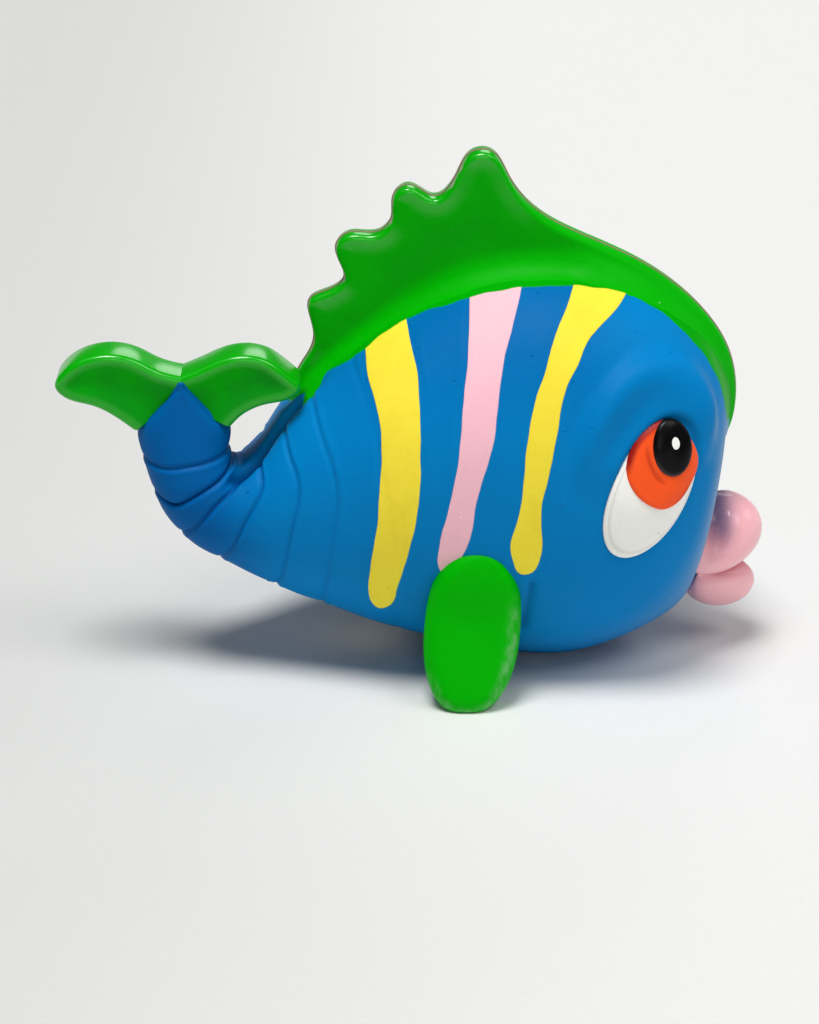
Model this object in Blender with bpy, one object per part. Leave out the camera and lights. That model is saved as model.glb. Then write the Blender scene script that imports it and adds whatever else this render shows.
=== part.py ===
# Squeaky fish dog toy: a hollow latex skin with flexible fins, tail and flanks, and a reed squeaker.
# Metres, +Z up, +X towards the lips, -Y is the fish's right side, origin on the floor under the toy's middle.

import math

import bmesh
import bpy
import numpy as np
from mathutils import Matrix, Vector
from mathutils.geometry import delaunay_2d_cdt

MM = 0.001

# Fits
GAP = 0.3 * MM  # between two pieces that touch
FLOOR_CUT = 0.5 * MM  # latex taken off flat where the toy stands

# Skin of the body
SKIN_WALL = 2.5 * MM
BODY_WIDTH = 59.0 * MM
SECTION_POWER = 2.2  # 2 is an ellipse, more is squarer
NOSE = (57.7, 33.5)  # front end of the body, X and Z in mm
# Cross sections, nose to tail tip, in mm: back X, back Z, belly X, belly Z, width share, sideways Y
SECTIONS = (
    (59.5, 43.5, 56.5, 24.0, 0.26, 0.0),
    (60.3, 51.8, 55.5, 18.4, 0.45, 0.0),
    (58.4, 61.2, 53.3, 12.8, 0.63, 0.0),
    (52.5, 69.2, 48.5, 7.6, 0.80, 0.0),
    (42.1, 75.6, 40.5, 2.8, 0.935, 0.0),
    (28.1, 78.6, 29.1, -0.5, 1.0, 0.0),
    (13.1, 77.0, 16.1, 0.4, 0.99, 0.0),
    (-0.4, 71.2, 3.1, 3.2, 0.94, 0.0),
    (-14.9, 61.2, -9.4, 6.8, 0.84, 0.0),
    (-23.9, 52.8, -17.9, 10.6, 0.72, -1.0),
    (-28.6, 46.3, -27.4, 15.1, 0.58, -3.0),
    (-31.9, 42.5, -37.3, 20.9, 0.45, -5.4),
    (-34.2, 41.2, -44.7, 26.1, 0.36, -7.2),
    (-35.6, 42.2, -49.9, 34.0, 0.31, -8.3),
    (-36.1, 44.4, -52.0, 41.0, 0.275, -8.5),
    (-35.8, 48.9, -53.5, 48.3, 0.235, -8.5),
    (-40.2, 54.4, -49.2, 54.0, 0.195, -8.5),
    (-43.9, 59.2, -45.3, 59.2, 0.17, -8.5),
)
RING_START = 14  # row where the flexing ring of the tail starts
RING_END = 15  # row where it ends
CAVITY_END = 12.6  # row where the hollow ends, behind it the tail is solid
TRUNK_END = 11.4  # row that closes the copies of the trunk used for fitting

# Flank panels that are squeezed
FLANK_CENTRE = (11.6, 34.0)  # X and Z in mm
FLANK_LENGTH = 40.0 * MM
FLANK_HEIGHT = 52.0 * MM

# Crest on the back, outline X and Z in mm from the forehead to the tail root
CREST_EDGE = (
    (62.0, 48.0), (62.2, 52.2), (60.3, 61.8), (53.9, 70.9), (44.1, 78.5), (33.3, 83.8), (24.1, 88.6),
    (17.5, 96.2), (13.7, 101.2), (10.7, 100.9), (7.4, 95.8), (3.4, 92.2), (-1.5, 94.4), (-4.1, 92.6),
    (-4.6, 88.0), (-7.4, 85.1), (-13.1, 84.8), (-15.2, 82.4), (-13.7, 76.0), (-16.5, 73.6), (-20.3, 71.7),
    (-19.6, 64.5), (-22.9, 57.0), (-24.5, 50.6),
)
CREST_ROOT = ((-19.9, 50.0), (-8.9, 60.0), (11.1, 71.0), (29.1, 72.0), (46.1, 67.0), (56.1, 52.0))
CREST_THICKNESS = 6.4 * MM
CREST_EDGE_ROUND = 2.0 * MM
CREST_FLARE = 5.0 * MM  # how far each side spreads where it meets the back
CREST_FLARE_RISE = 3.5 * MM  # height over which that spread fades

# Tail fluke, outlines X and Z in mm, each starting and ending inside the tail stem
FLUKE_FRONT_LOBE = (
    (-35.4, 50.0), (-33.6, 51.9), (-28.3, 54.5), (-23.8, 55.7), (-22.0, 57.5), (-24.1, 60.4), (-28.5, 63.6),
    (-32.3, 64.4), (-36.9, 63.6), (-41.1, 61.5), (-44.2, 59.8),
)
FLUKE_REAR_LOBE = (
    (-45.4, 59.8), (-48.9, 61.3), (-53.1, 63.5), (-57.9, 64.6), (-62.9, 63.8), (-67.4, 60.8), (-68.7, 58.0),
    (-66.7, 55.7), (-61.9, 54.2), (-56.9, 51.5), (-53.8, 49.1),
)
FLUKE_LOBE_GAP = 1.2 * MM  # between the lobes, inside the tip of the stem
FLUKE_ROOT_DEPTH = 7.7 * MM  # how far below the tip each lobe reaches inside the stem
FLUKE_ROOT_HALF = 6.0 * MM
FLUKE_THICKNESS = 9.0 * MM
FLUKE_EDGE_ROUND = 2.0 * MM
FLUKE_Y = -8.5 * MM

# Pectoral fins
FIN_LENGTH = 34.0 * MM
FIN_WIDTH = 18.4 * MM
FIN_THICKNESS = 8.0 * MM
FIN_EDGE_ROUND = 3.0 * MM
FIN_LEAN = 16.0  # degrees the tip stands out from the body
FIN_X = 10.8 * MM
FIN_Y = 32.2 * MM  # middle of the foot, out from the middle of the toy
FIN_ROOT_PAD = 2.0 * MM  # flexing layer between fin and flank
FIN_HINGE_Z = 23.0 * MM

# Lips, in mm: middle X, middle Z, reach forwards, half height, half width, sweep back and rise at the corners
UPPER_LIP = (60.7, 24.0, 8.0, 7.2, 12.0, 5.5, -3.0)
LOWER_LIP = (60.5, 12.2, 7.2, 5.6, 9.5, 5.0, 5.0)

# Eyes, sizes in mm on the surface, each part's place up the eye from its middle
EYE_X = 44.7 * MM
EYE_Z = 42.7 * MM
EYE_TILT = 28.0  # degrees the long axis leans towards the lips
EYE_LENGTH = 29.0 * MM
EYE_WIDTH = 16.0 * MM
IRIS_LENGTH = 18.4 * MM
IRIS_WIDTH = 13.4 * MM
IRIS_RISE = 5.4 * MM
IRIS_LID = 0.9 * MM  # white left between the iris and the eyelid
PUPIL_LENGTH = 10.0 * MM
PUPIL_WIDTH = 7.8 * MM
PUPIL_RING = 0.9 * MM  # iris left above the pupil
PUPIL_LID = 2.0 * MM  # eye left between the pupil and the eyelid
GLINT_SIZE = 2.2 * MM
GLINT_RISE = 0.4 * MM  # above the middle of the pupil
WHITE_RELIEF = 1.2 * MM
IRIS_RELIEF = 1.6 * MM
PUPIL_RELIEF = 2.2 * MM
GLINT_RELIEF = 2.5 * MM

# Brow over each eye: a ridge along the upper rear of an oval, and the hollow inside it
BROW_ACROSS = -3.5 * MM  # middle of the oval from the middle of the eye, towards the lips
BROW_UP = 6.2 * MM  # and up the eye
BROW_WIDTH = 23.8 * MM
BROW_LENGTH = 31.4 * MM
BROW_RISE = 1.9 * MM
BROW_HOLLOW = 1.1 * MM
BROW_OUTER_SLOPE = 2.4 * MM
BROW_INNER_SLOPE = 4.5 * MM

# Squeaker in the belly behind the fins, measured along its own axis from the skin inwards
SQUEAKER_X = -11.0 * MM
CUP_DIAMETER = 16.0 * MM
CUP_WALL = 1.2 * MM
CUP_BEAD = 1.2 * MM  # the bead outside the collar stands out this far
CUP_FLANGE = 2.0 * MM  # the flange inside the collar stands out this far
CUP_RECESS = 2.6 * MM  # outer face below the skin
CUP_RIM = 1.2 * MM  # thickness of bead and flange
COLLAR_THICKNESS = 3.4 * MM
COLLAR_WALL = 4.0 * MM
CAP_THICKNESS = 1.2 * MM
CAP_HOLE = 3.0 * MM
TUBE_DIAMETER = 6.4 * MM
TUBE_BORE = 3.2 * MM
TUBE_LENGTH = 11.0 * MM
TUBE_FLAT = 2.2 * MM  # tube axis to the flat that carries the reed
REED_WIDTH = 3.2 * MM
REED_LENGTH = 9.0 * MM
REED_THICKNESS = 0.4 * MM
CLIP_HEIGHT = 2.4 * MM
CLIP_WALL = 0.9 * MM

# Fineness of the solids
BODY_ROWS = 42
BODY_COLUMNS = 36
TURNED_SIDES = 28

for old in list(bpy.data.objects):
    bpy.data.objects.remove(old)

materials = {}


def material(name, colour, roughness, metallic=0.0):
    made = bpy.data.materials.new(name)
    made.use_nodes = True
    shader = made.node_tree.nodes["Principled BSDF"]
    shader.inputs["Base Color"].default_value = (*colour, 1.0)
    shader.inputs["Roughness"].default_value = roughness
    shader.inputs["Metallic"].default_value = metallic
    materials[name] = made


material("blue_latex", (0.0, 0.15, 0.45), 0.5)
material("green_latex", (0.0, 0.35, 0.0), 0.35)
material("pink_latex", (0.84, 0.33, 0.39), 0.3)
material("white_paint", (0.75, 0.75, 0.72), 0.4)
material("orange_paint", (1.0, 0.11, 0.01), 0.35)
material("black_paint", (0.01, 0.01, 0.01), 0.15)
material("white_plastic", (0.8, 0.8, 0.78), 0.4)
material("reed_film", (0.6, 0.6, 0.55), 0.3)


def spline(knots, values, at):
    knots = np.asarray(knots, float)
    values = np.asarray(values, float)
    at = np.atleast_1d(np.asarray(at, float))
    count = len(knots)
    steps = np.diff(knots)
    slopes = np.diff(values, axis=0) / steps[:, None]
    system = np.eye(count)
    right = np.zeros_like(values)
    for i in range(1, count - 1):
        system[i, i - 1] = steps[i - 1]
        system[i, i] = 2.0 * (steps[i - 1] + steps[i])
        system[i, i + 1] = steps[i]
        right[i] = 6.0 * (slopes[i] - slopes[i - 1])
    bend = np.linalg.solve(system, right)
    i = np.clip(np.searchsorted(knots, at, side="right") - 1, 0, count - 2)
    step = steps[i][:, None]
    after = (at - knots[i])[:, None]
    before = step - after
    curved = (bend[i] * before**3 + bend[i + 1] * after**3) / (6.0 * step)
    straight = (values[i] / step - bend[i] * step / 6.0) * before
    return curved + straight + (values[i + 1] / step - bend[i + 1] * step / 6.0) * after


def smooth_curve(points, count):
    points = np.asarray(points, float)
    chord = np.concatenate([[0.0], np.cumsum(np.linalg.norm(np.diff(points, axis=0), axis=1))])
    return spline(chord, points, np.linspace(0.0, chord[-1], count))


# The body: sections swept from the nose to the tail, mirrored past the nose so that the front is round

def section_table():
    rows = np.array(SECTIONS, float)
    rows[:, 4] *= 0.5 * BODY_WIDTH / MM
    nose = np.array([[NOSE[0], NOSE[1], NOSE[0], NOSE[1], 0.0, 0.0]])
    mirrored = rows[2::-1][:, [2, 3, 0, 1, 4, 5]] * (1, 1, 1, 1, -1, 1)
    table = np.concatenate([mirrored, nose, rows]) * MM
    back = np.linalg.norm(np.diff(table[:, 0:2], axis=0), axis=1)
    belly = np.linalg.norm(np.diff(table[:, 2:4], axis=0), axis=1)
    knots = np.concatenate([[0.0], np.cumsum(0.5 * (back + belly))])
    return knots - knots[3], table


KNOTS, TABLE = section_table()


def row_place(row):
    # Place along the body of a row of SECTIONS, fractions between rows allowed, 0 at the nose
    return float(np.interp(row, np.arange(len(KNOTS) - 3), KNOTS[3:]))


def body_points(places, angles):
    rows = spline(KNOTS, TABLE, places)
    middle = 0.5 * (rows[:, 0:2] + rows[:, 2:4])
    half = 0.5 * (rows[:, 0:2] - rows[:, 2:4])
    power = 2.0 / SECTION_POWER
    up = np.sign(np.cos(angles)) * np.abs(np.cos(angles)) ** power
    side = np.sign(np.sin(angles)) * np.abs(np.sin(angles)) ** power
    points = np.empty((len(rows), len(angles), 3))
    points[:, :, 0] = middle[:, 0, None] + half[:, 0, None] * up
    points[:, :, 1] = rows[:, 5, None] - rows[:, 4, None] * side
    points[:, :, 2] = middle[:, 1, None] + half[:, 1, None] * up
    return points


def body_normals(places, angles):
    reach = 0.3 * MM
    along = body_points(places + reach, angles) - body_points(places - reach, angles)
    around = body_points(places, angles + 0.02) - body_points(places, angles - 0.02)
    normals = np.cross(along, around)
    return normals / np.maximum(np.linalg.norm(normals, axis=2, keepdims=True), 1e-12)


def surface_at(x, z, side):
    # Point and outward normal of the body's side at a given X and Z
    places = np.linspace(2.0 * MM, row_place(TRUNK_END), 240)
    angles = np.linspace(0.02, math.pi - 0.02, 160) * -side
    points = body_points(places, angles)
    away = (points[:, :, 0] - x) ** 2 + (points[:, :, 2] - z) ** 2
    row, column = np.unravel_index(np.argmin(away), away.shape)
    normal = body_normals(places[row:row + 1], angles[column:column + 1])[0, 0]
    return Vector(points[row, column]), Vector(normal)


def eye_axes(side):
    # Middle of an eye, and its directions towards the lips, up the eye and outwards
    spot, normal = surface_at(EYE_X, EYE_Z, side)
    tilt = math.radians(EYE_TILT)
    up = Vector((math.sin(tilt), 0.0, math.cos(tilt)))
    up = (up - normal * up.dot(normal)).normalized()
    return spot, up.cross(normal) * -side, up, normal


EYES = {side: eye_axes(side) for side in (-1.0, 1.0)}


def ramp(value, low, high):
    share = np.clip((value - low) / (high - low), 0.0, 1.0)
    return share * share * (3.0 - 2.0 * share)


def brow_relief(points):
    relief = np.zeros(points.shape[:-1])
    for side, (spot, across, up, _) in EYES.items():
        away = points - np.array(spot)
        forward = away @ np.array(across)
        rise = away @ np.array(up)
        share = np.hypot((forward - BROW_ACROSS) / (0.5 * BROW_WIDTH), (rise - BROW_UP) / (0.5 * BROW_LENGTH))
        edge = (share - 1.0) * 0.25 * (BROW_WIDTH + BROW_LENGTH)
        slope = np.where(edge > 0.0, BROW_OUTER_SLOPE, BROW_INNER_SLOPE)
        ridge = BROW_RISE * np.exp(-((edge / slope) ** 2))
        dip = BROW_HOLLOW * ramp(-edge, 0.0, 2.0 * BROW_INNER_SLOPE)
        upper = ramp(rise, -0.25 * BROW_LENGTH, 0.25 * BROW_LENGTH)
        below_top = 1.0 - ramp(rise, 0.25 * BROW_LENGTH, 0.55 * BROW_LENGTH)
        open_front = ramp(forward, 0.0, 0.25 * BROW_WIDTH) * below_top
        relief += np.where(points[..., 1] * side > 0.0, (ridge - dip) * upper * (1.0 - open_front), 0.0)
    return relief


def body_surface(places, angles, grow=0.0):
    points = body_points(places, angles)
    lift = grow + brow_relief(points)
    return points + lift[..., None] * body_normals(np.maximum(places, 1.0 * MM), angles)


# Meshes and objects

def closed_mesh(name, points, faces):
    mesh = bpy.data.meshes.new(name)
    mesh.from_pydata([tuple(p) for p in points], [], faces)
    shape = bmesh.new()
    shape.from_mesh(mesh)
    bmesh.ops.recalc_face_normals(shape, faces=shape.faces)
    if shape.calc_volume(signed=True) < 0.0:
        bmesh.ops.reverse_faces(shape, faces=shape.faces)
    shape.to_mesh(mesh)
    shape.free()
    return mesh


def ring_mesh(name, rings, first_pole=None):
    # Closed mesh through equal rings of points, with flat ends or a pole before the first ring
    rings = np.asarray(rings)
    rows, columns = rings.shape[:2]
    points = list(rings.reshape(-1, 3))
    faces = []
    for r in range(rows - 1):
        for c in range(columns):
            d = (c + 1) % columns
            faces.append((r * columns + c, r * columns + d, (r + 1) * columns + d, (r + 1) * columns + c))
    faces.append(tuple((rows - 1) * columns + c for c in range(columns)))
    if first_pole is None:
        faces.append(tuple(reversed(range(columns))))
    else:
        points.append(first_pole)
        faces += [(len(points) - 1, (c + 1) % columns, c) for c in range(columns)]
    return closed_mesh(name, points, faces)


def add(name, mesh, paint=None, origin=None, smooth=True):
    made = bpy.data.objects.new(name, mesh)
    bpy.context.scene.collection.objects.link(made)
    if origin is not None:
        mesh.transform(Matrix.Translation(-Vector(origin)))
        made.location = origin
    if paint is None:
        made.hide_render = True
        made.display_type = "WIRE"
    else:
        mesh.materials.append(materials[paint])
        mesh.polygons.foreach_set("use_smooth", [smooth] * len(mesh.polygons))
    return made


def fit(piece, tool, operation):
    change = piece.modifiers.new(operation.lower() + "_" + tool.name, "BOOLEAN")
    change.operation = operation
    change.solver = "EXACT"
    change.object = tool


def block(name, low, high):
    corners = [(x, y, z) for x in (low[0], high[0]) for y in (low[1], high[1]) for z in (low[2], high[2])]
    faces = [(0, 1, 3, 2), (4, 6, 7, 5), (0, 4, 5, 1), (2, 3, 7, 6), (0, 2, 6, 4), (1, 5, 7, 3)]
    return closed_mesh(name, corners, faces)


def prism(name, outline, frame, low, high):
    # Outline in the frame's X and Y, run along its Z from low to high
    rings = [[frame @ Vector((x, y, level)) for x, y in outline] for level in (low, high)]
    return ring_mesh(name, np.array([[tuple(p) for p in ring] for ring in rings]))


def oval(length, width, count, grow=0.0, middle=(0.0, 0.0), power=2.0):
    turn = 2.0 * math.pi * np.arange(count) / count
    x = np.sign(np.cos(turn)) * np.abs(np.cos(turn)) ** (2.0 / power)
    y = np.sign(np.sin(turn)) * np.abs(np.sin(turn)) ** (2.0 / power)
    return np.stack([middle[0] + (0.5 * width + grow) * x, middle[1] + (0.5 * length + grow) * y], axis=1)


def turned(name, profile, frame, sides=TURNED_SIDES):
    # Closed profile of radius and height, turned about the frame's Z
    points = []
    for s in range(sides):
        turn = 2.0 * math.pi * s / sides
        points += [tuple(frame @ Vector((r * math.cos(turn), r * math.sin(turn), z))) for r, z in profile]
    count = len(profile)
    faces = []
    for s in range(sides):
        for p in range(count):
            q = (p + 1) % count
            n = (s + 1) % sides
            faces.append((s * count + p, s * count + q, n * count + q, n * count + p))
    return closed_mesh(name, points, faces)


def turned_solid(name, profile, frame, sides=TURNED_SIDES):
    # Solid round the frame's Z with flat ends, profile of radius and height from end to end
    turn = 2.0 * math.pi * np.arange(sides) / sides
    rings = [[tuple(frame @ Vector((r * math.cos(a), r * math.sin(a), z))) for a in turn] for r, z in profile]
    return ring_mesh(name, np.array(rings))


def edge_distance(points, outline):
    step = np.roll(outline, -1, axis=0) - outline
    away = points[:, None] - outline[None]
    along = np.clip((away * step).sum(2) / (step * step).sum(1), 0.0, 1.0)
    return np.linalg.norm(away - along[..., None] * step, axis=2).min(1)


def inside(points, outline):
    ends = np.roll(outline, -1, axis=0)
    above = (outline[None, :, 1] > points[:, None, 1]) != (ends[None, :, 1] > points[:, None, 1])
    rise = np.where(ends[:, 1] == outline[:, 1], 1.0, ends[:, 1] - outline[:, 1])
    cross = outline[:, 0] + (points[:, None, 1] - outline[:, 1]) / rise * (ends[:, 0] - outline[:, 0])
    return (above & (points[:, None, 0] < cross)).sum(1) % 2 == 1


def plate(name, outline, edge_round, spacing, half_thickness, place):
    # Plate filling an outline, with a rounded rim: half_thickness gives its half thickness at each point
    outline = np.asarray(outline)
    low = outline.min(0)
    high = outline.max(0)
    grid = np.stack(np.meshgrid(np.arange(low[0], high[0], spacing), np.arange(low[1], high[1], spacing)), -1)
    grid = grid.reshape(-1, 2)
    tangent = np.roll(outline, -1, axis=0) - np.roll(outline, 1, axis=0)
    normal = np.stack([-tangent[:, 1], tangent[:, 0]], 1) / np.linalg.norm(tangent, axis=1)[:, None]
    inset = np.concatenate([outline + normal * edge_round, outline - normal * edge_round])
    grid = grid[inside(grid, outline)]
    inset = inset[inside(inset, outline)]
    grid = grid[edge_distance(grid, outline) > 1.6 * edge_round]
    inset = inset[edge_distance(inset, outline) > 0.9 * edge_round]
    points = np.concatenate([outline, inset, grid])
    edges = [(i, (i + 1) % len(outline)) for i in range(len(outline))]
    found = delaunay_2d_cdt([Vector(p) for p in points], edges, [], 1, 1e-7)
    flat = np.array([tuple(p) for p in found[0]])
    used = sorted({v for face in found[2] for v in face})
    number = {v: i for i, v in enumerate(used)}
    flat = flat[used]
    rim = {}
    for new, olds in enumerate(found[3]):
        for old in olds:
            if old < len(outline):
                rim[old] = number[new]
    depth = half_thickness(flat, edge_distance(flat, outline))
    count = len(flat)
    solid = [place(p, d) for p, d in zip(flat, depth)] + [place(p, -d) for p, d in zip(flat, depth)]
    faces = [tuple(number[v] for v in face) for face in found[2]]
    faces += [tuple(count + v for v in reversed(face)) for face in faces]
    for i in range(len(outline)):
        a, b = rim[i], rim[(i + 1) % len(outline)]
        faces.append((a, b, count + b, count + a))
    return closed_mesh(name, solid, faces)


def rounded(full, edge_round, distance):
    # Half thickness of a plate whose rim is a quarter round
    inner = np.clip(1.0 - distance / edge_round, 0.0, 1.0)
    return full - edge_round + edge_round * np.sqrt(1.0 - inner**2) * 0.999 + 0.001 * edge_round


ANGLES = 2.0 * math.pi * np.arange(BODY_COLUMNS) / BODY_COLUMNS


BODY_PLACES = np.linspace(1.6 * MM, row_place(RING_START - 0.03), BODY_ROWS)
TRUNK_PLACES = BODY_PLACES[BODY_PLACES < row_place(TRUNK_END)]


def trunk(name, grow, places):
    nose = body_surface(np.array([0.0]), ANGLES, grow)[0].mean(0)
    return ring_mesh(name, body_surface(places, ANGLES, grow), nose)


grown_trunks = {}


def grown_trunk(grow):
    # Copy of the trunk, grown all round, that shapes what sits on it
    key = round(grow / MM, 3)
    if key not in grown_trunks:
        grown_trunks[key] = add(f"trunk_grown_{key}", trunk(f"trunk_grown_{key}", grow, TRUNK_PLACES))
    return grown_trunks[key]


floor = add("floor_cut", block("floor_cut", (-0.1, -0.1, -0.02), (0.1, 0.1, 0.0)))
hollow = add("hollow", trunk("hollow", -SKIN_WALL, np.linspace(1.6 * MM, row_place(CAVITY_END), 32)))
outside = grown_trunk(0.0)

# Body skin with two windows for the flanks

body = add("body_skin", trunk("body_skin", 0.0, BODY_PLACES), "blue_latex")
fit(body, hollow, "DIFFERENCE")

side_frame = Matrix.Translation((FLANK_CENTRE[0] * MM, 0.0, FLANK_CENTRE[1] * MM)) @ Matrix.Rotation(
    math.pi / 2.0, 4, "X")
flank_sides = {"right": -1.0, "left": 1.0}
flanks = {}
for name, side in flank_sides.items():
    reach = (6.0 * MM, 60.0 * MM) if side < 0 else (-60.0 * MM, -6.0 * MM)
    window = oval(FLANK_HEIGHT, FLANK_LENGTH, 36, GAP, power=2.4)
    panel = oval(FLANK_HEIGHT, FLANK_LENGTH, 36, 0.0, power=2.4)
    fit(body, add(name + "_window", prism(name + "_window", window, side_frame, *reach)), "DIFFERENCE")
    flanks[name] = add(name + "_flank", prism(name + "_flank", panel, side_frame, *reach), "blue_latex")
    fit(flanks[name], outside, "INTERSECT")
    fit(flanks[name], hollow, "DIFFERENCE")

# Tail: a flexing ring, the stem with its pointed end, and the two lobes of the fluke


def tail_loft(name, start_row, end_row, rows, grow=0.0):
    places = np.linspace(row_place(start_row), row_place(end_row), rows)
    return ring_mesh(name, body_surface(places, ANGLES, grow))


add("tail_ring", tail_loft("tail_ring", RING_START + 0.03, RING_END - 0.03, 4), "blue_latex")
tail_hinge = body_points(np.array([row_place(0.5 * (RING_START + RING_END))]), ANGLES)[0].mean(0)
tip_row = len(SECTIONS)
tip_x = 0.5 * (TABLE[-1, 0] + TABLE[-1, 2])
tip_z = TABLE[-1, 1]
stem = add("tail_stem", tail_loft("tail_stem", RING_END + 0.03, tip_row, 12), "blue_latex", tail_hinge)
stem_room = add("tail_stem_room", tail_loft("tail_stem_room", RING_END - 0.1, tip_row, 14, GAP))
for name, edge, side in (("front", FLUKE_FRONT_LOBE, 1.0), ("rear", FLUKE_REAR_LOBE, -1.0)):
    core = np.array([(tip_x + side * 0.5 * FLUKE_LOBE_GAP, tip_z - 0.3 * FLUKE_ROOT_DEPTH),
                     (tip_x + side * FLUKE_ROOT_HALF, tip_z - FLUKE_ROOT_DEPTH)])
    outline = np.concatenate([smooth_curve(edge, 34) * MM, core if side > 0 else core[::-1]])
    lobe = add(f"fluke_{name}_lobe", plate(
        f"fluke_{name}_lobe", outline, FLUKE_EDGE_ROUND, 5.0 * MM,
        lambda flat, distance: rounded(0.5 * FLUKE_THICKNESS, FLUKE_EDGE_ROUND, distance),
        lambda p, depth: (p[0], FLUKE_Y + depth, p[1])), "green_latex", tail_hinge)
    fit(lobe, stem_room, "DIFFERENCE")

# Crest: a plate whose sides spread where it meets the back

back_line = spline(KNOTS, TABLE, np.linspace(row_place(0.5), row_place(TRUNK_END), 120))[:, 0:2]


def crest_depth(flat, distance):
    height = np.linalg.norm(flat[:, None] - back_line[None], axis=2).min(1)
    spread = CREST_FLARE * np.exp(-((height / CREST_FLARE_RISE) ** 1.5))
    rear = np.clip((flat[:, 0] + 24.0 * MM) / (34.0 * MM), 0.0, 1.0)
    front = np.clip((63.0 * MM - flat[:, 0]) / (22.0 * MM), 0.0, 1.0)
    taper = (0.35 + 0.65 * rear) * (0.4 + 0.6 * front)
    blade = rounded(0.5 * CREST_THICKNESS, CREST_EDGE_ROUND, distance) * (0.6 + 0.4 * taper)
    return blade + spread * taper * np.clip(distance / (3.0 * MM), 0.0, 1.0)


crest_outline = np.concatenate([smooth_curve(CREST_EDGE, 92), np.array(CREST_ROOT)]) * MM
crest = add("crest_fin", plate(
    "crest_fin", crest_outline, CREST_EDGE_ROUND, 3.2 * MM, crest_depth,
    lambda p, depth: (p[0], depth, p[1])), "green_latex")
fit(crest, grown_trunk(GAP), "DIFFERENCE")

# Pectoral fins: paddles that stand out from the flanks and carry the toy, each on a flexing root

fin_places = {}
for name, side in flank_sides.items():
    lean = math.radians(FIN_LEAN)
    along = Vector((0.0, side * math.sin(lean), -math.cos(lean)))
    out = Vector((0.0, side * math.cos(lean), math.sin(lean)))
    foot = Vector((FIN_X, side * FIN_Y, -FLOOR_CUT))
    middle = foot - along * (0.5 * FIN_LENGTH - 0.5 * FIN_THICKNESS * math.tan(lean))
    hinge = middle + along * ((middle.z - FIN_HINGE_Z) / math.cos(lean))
    fin_places[name] = hinge
    outline = oval(FIN_LENGTH, FIN_WIDTH, 32, power=2.3)

    def fin_point(p, depth, middle=middle, along=along, out=out):
        return tuple(middle + Vector((p[0], 0.0, 0.0)) - along * p[1] + out * depth)

    def fin_depth(flat, distance):
        return rounded(0.5 * FIN_THICKNESS, FIN_EDGE_ROUND, distance)

    fin = add(name + "_fin", plate(name + "_fin", outline, FIN_EDGE_ROUND, 3.4 * MM, fin_depth, fin_point),
              "green_latex", hinge)
    fit(fin, grown_trunk(GAP + FIN_ROOT_PAD + GAP), "DIFFERENCE")
    fit(fin, floor, "DIFFERENCE")
    pad = plate(name + "_fin_root", outline * 0.92, FIN_EDGE_ROUND, 3.4 * MM, fin_depth, fin_point)
    root = add(name + "_fin_root", pad, "green_latex", hinge)
    fit(root, grown_trunk(GAP + FIN_ROOT_PAD), "INTERSECT")
    fit(root, grown_trunk(GAP), "DIFFERENCE")

# Lips: two bent pads round the mouth


def lip_mesh(name, sizes, grow=0.0):
    middle_x, middle_z, reach, height, width, sweep, rise = (value * MM for value in sizes)
    rings = []
    for share in np.sin(np.linspace(-0.5, 0.5, 13) * math.pi)[1:-1]:
        swell = math.sqrt(1.0 - share * share) ** 0.8
        turn = 2.0 * math.pi * np.arange(18) / 18
        x = middle_x - sweep * share * share + (reach * swell + grow) * np.cos(turn)
        z = middle_z + rise * share * share + (height * swell + grow) * np.sin(turn)
        rings.append(np.stack([x, np.full(18, (width + grow) * share), z], 1))
    return ring_mesh(name, rings)


upper_lip = add("upper_lip", lip_mesh("upper_lip", UPPER_LIP), "pink_latex")
fit(upper_lip, grown_trunk(GAP), "DIFFERENCE")
lower_lip = add("lower_lip", lip_mesh("lower_lip", LOWER_LIP), "pink_latex")
fit(lower_lip, grown_trunk(GAP), "DIFFERENCE")
fit(lower_lip, add("upper_lip_room", lip_mesh("upper_lip_room", UPPER_LIP, GAP)), "DIFFERENCE")

# Eyes: white, iris, pupil and glint, each a raised patch of the same shell


def within_eye(outline, rise, margin):
    # Outline drawn in towards its own middle where it passes the eyelid
    middle = np.array([0.0, rise])
    reach = 0.5 * np.array([EYE_WIDTH, EYE_LENGTH]) - margin
    start = middle / reach
    kept = []
    for point in outline:
        step = (point - middle) / reach
        a = step @ step
        b = step @ start
        c = start @ start - 1.0
        share = (math.sqrt(b * b - a * c) - b) / a
        kept.append(middle + (point - middle) * min(1.0, share))
    return np.array(kept)


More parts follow.
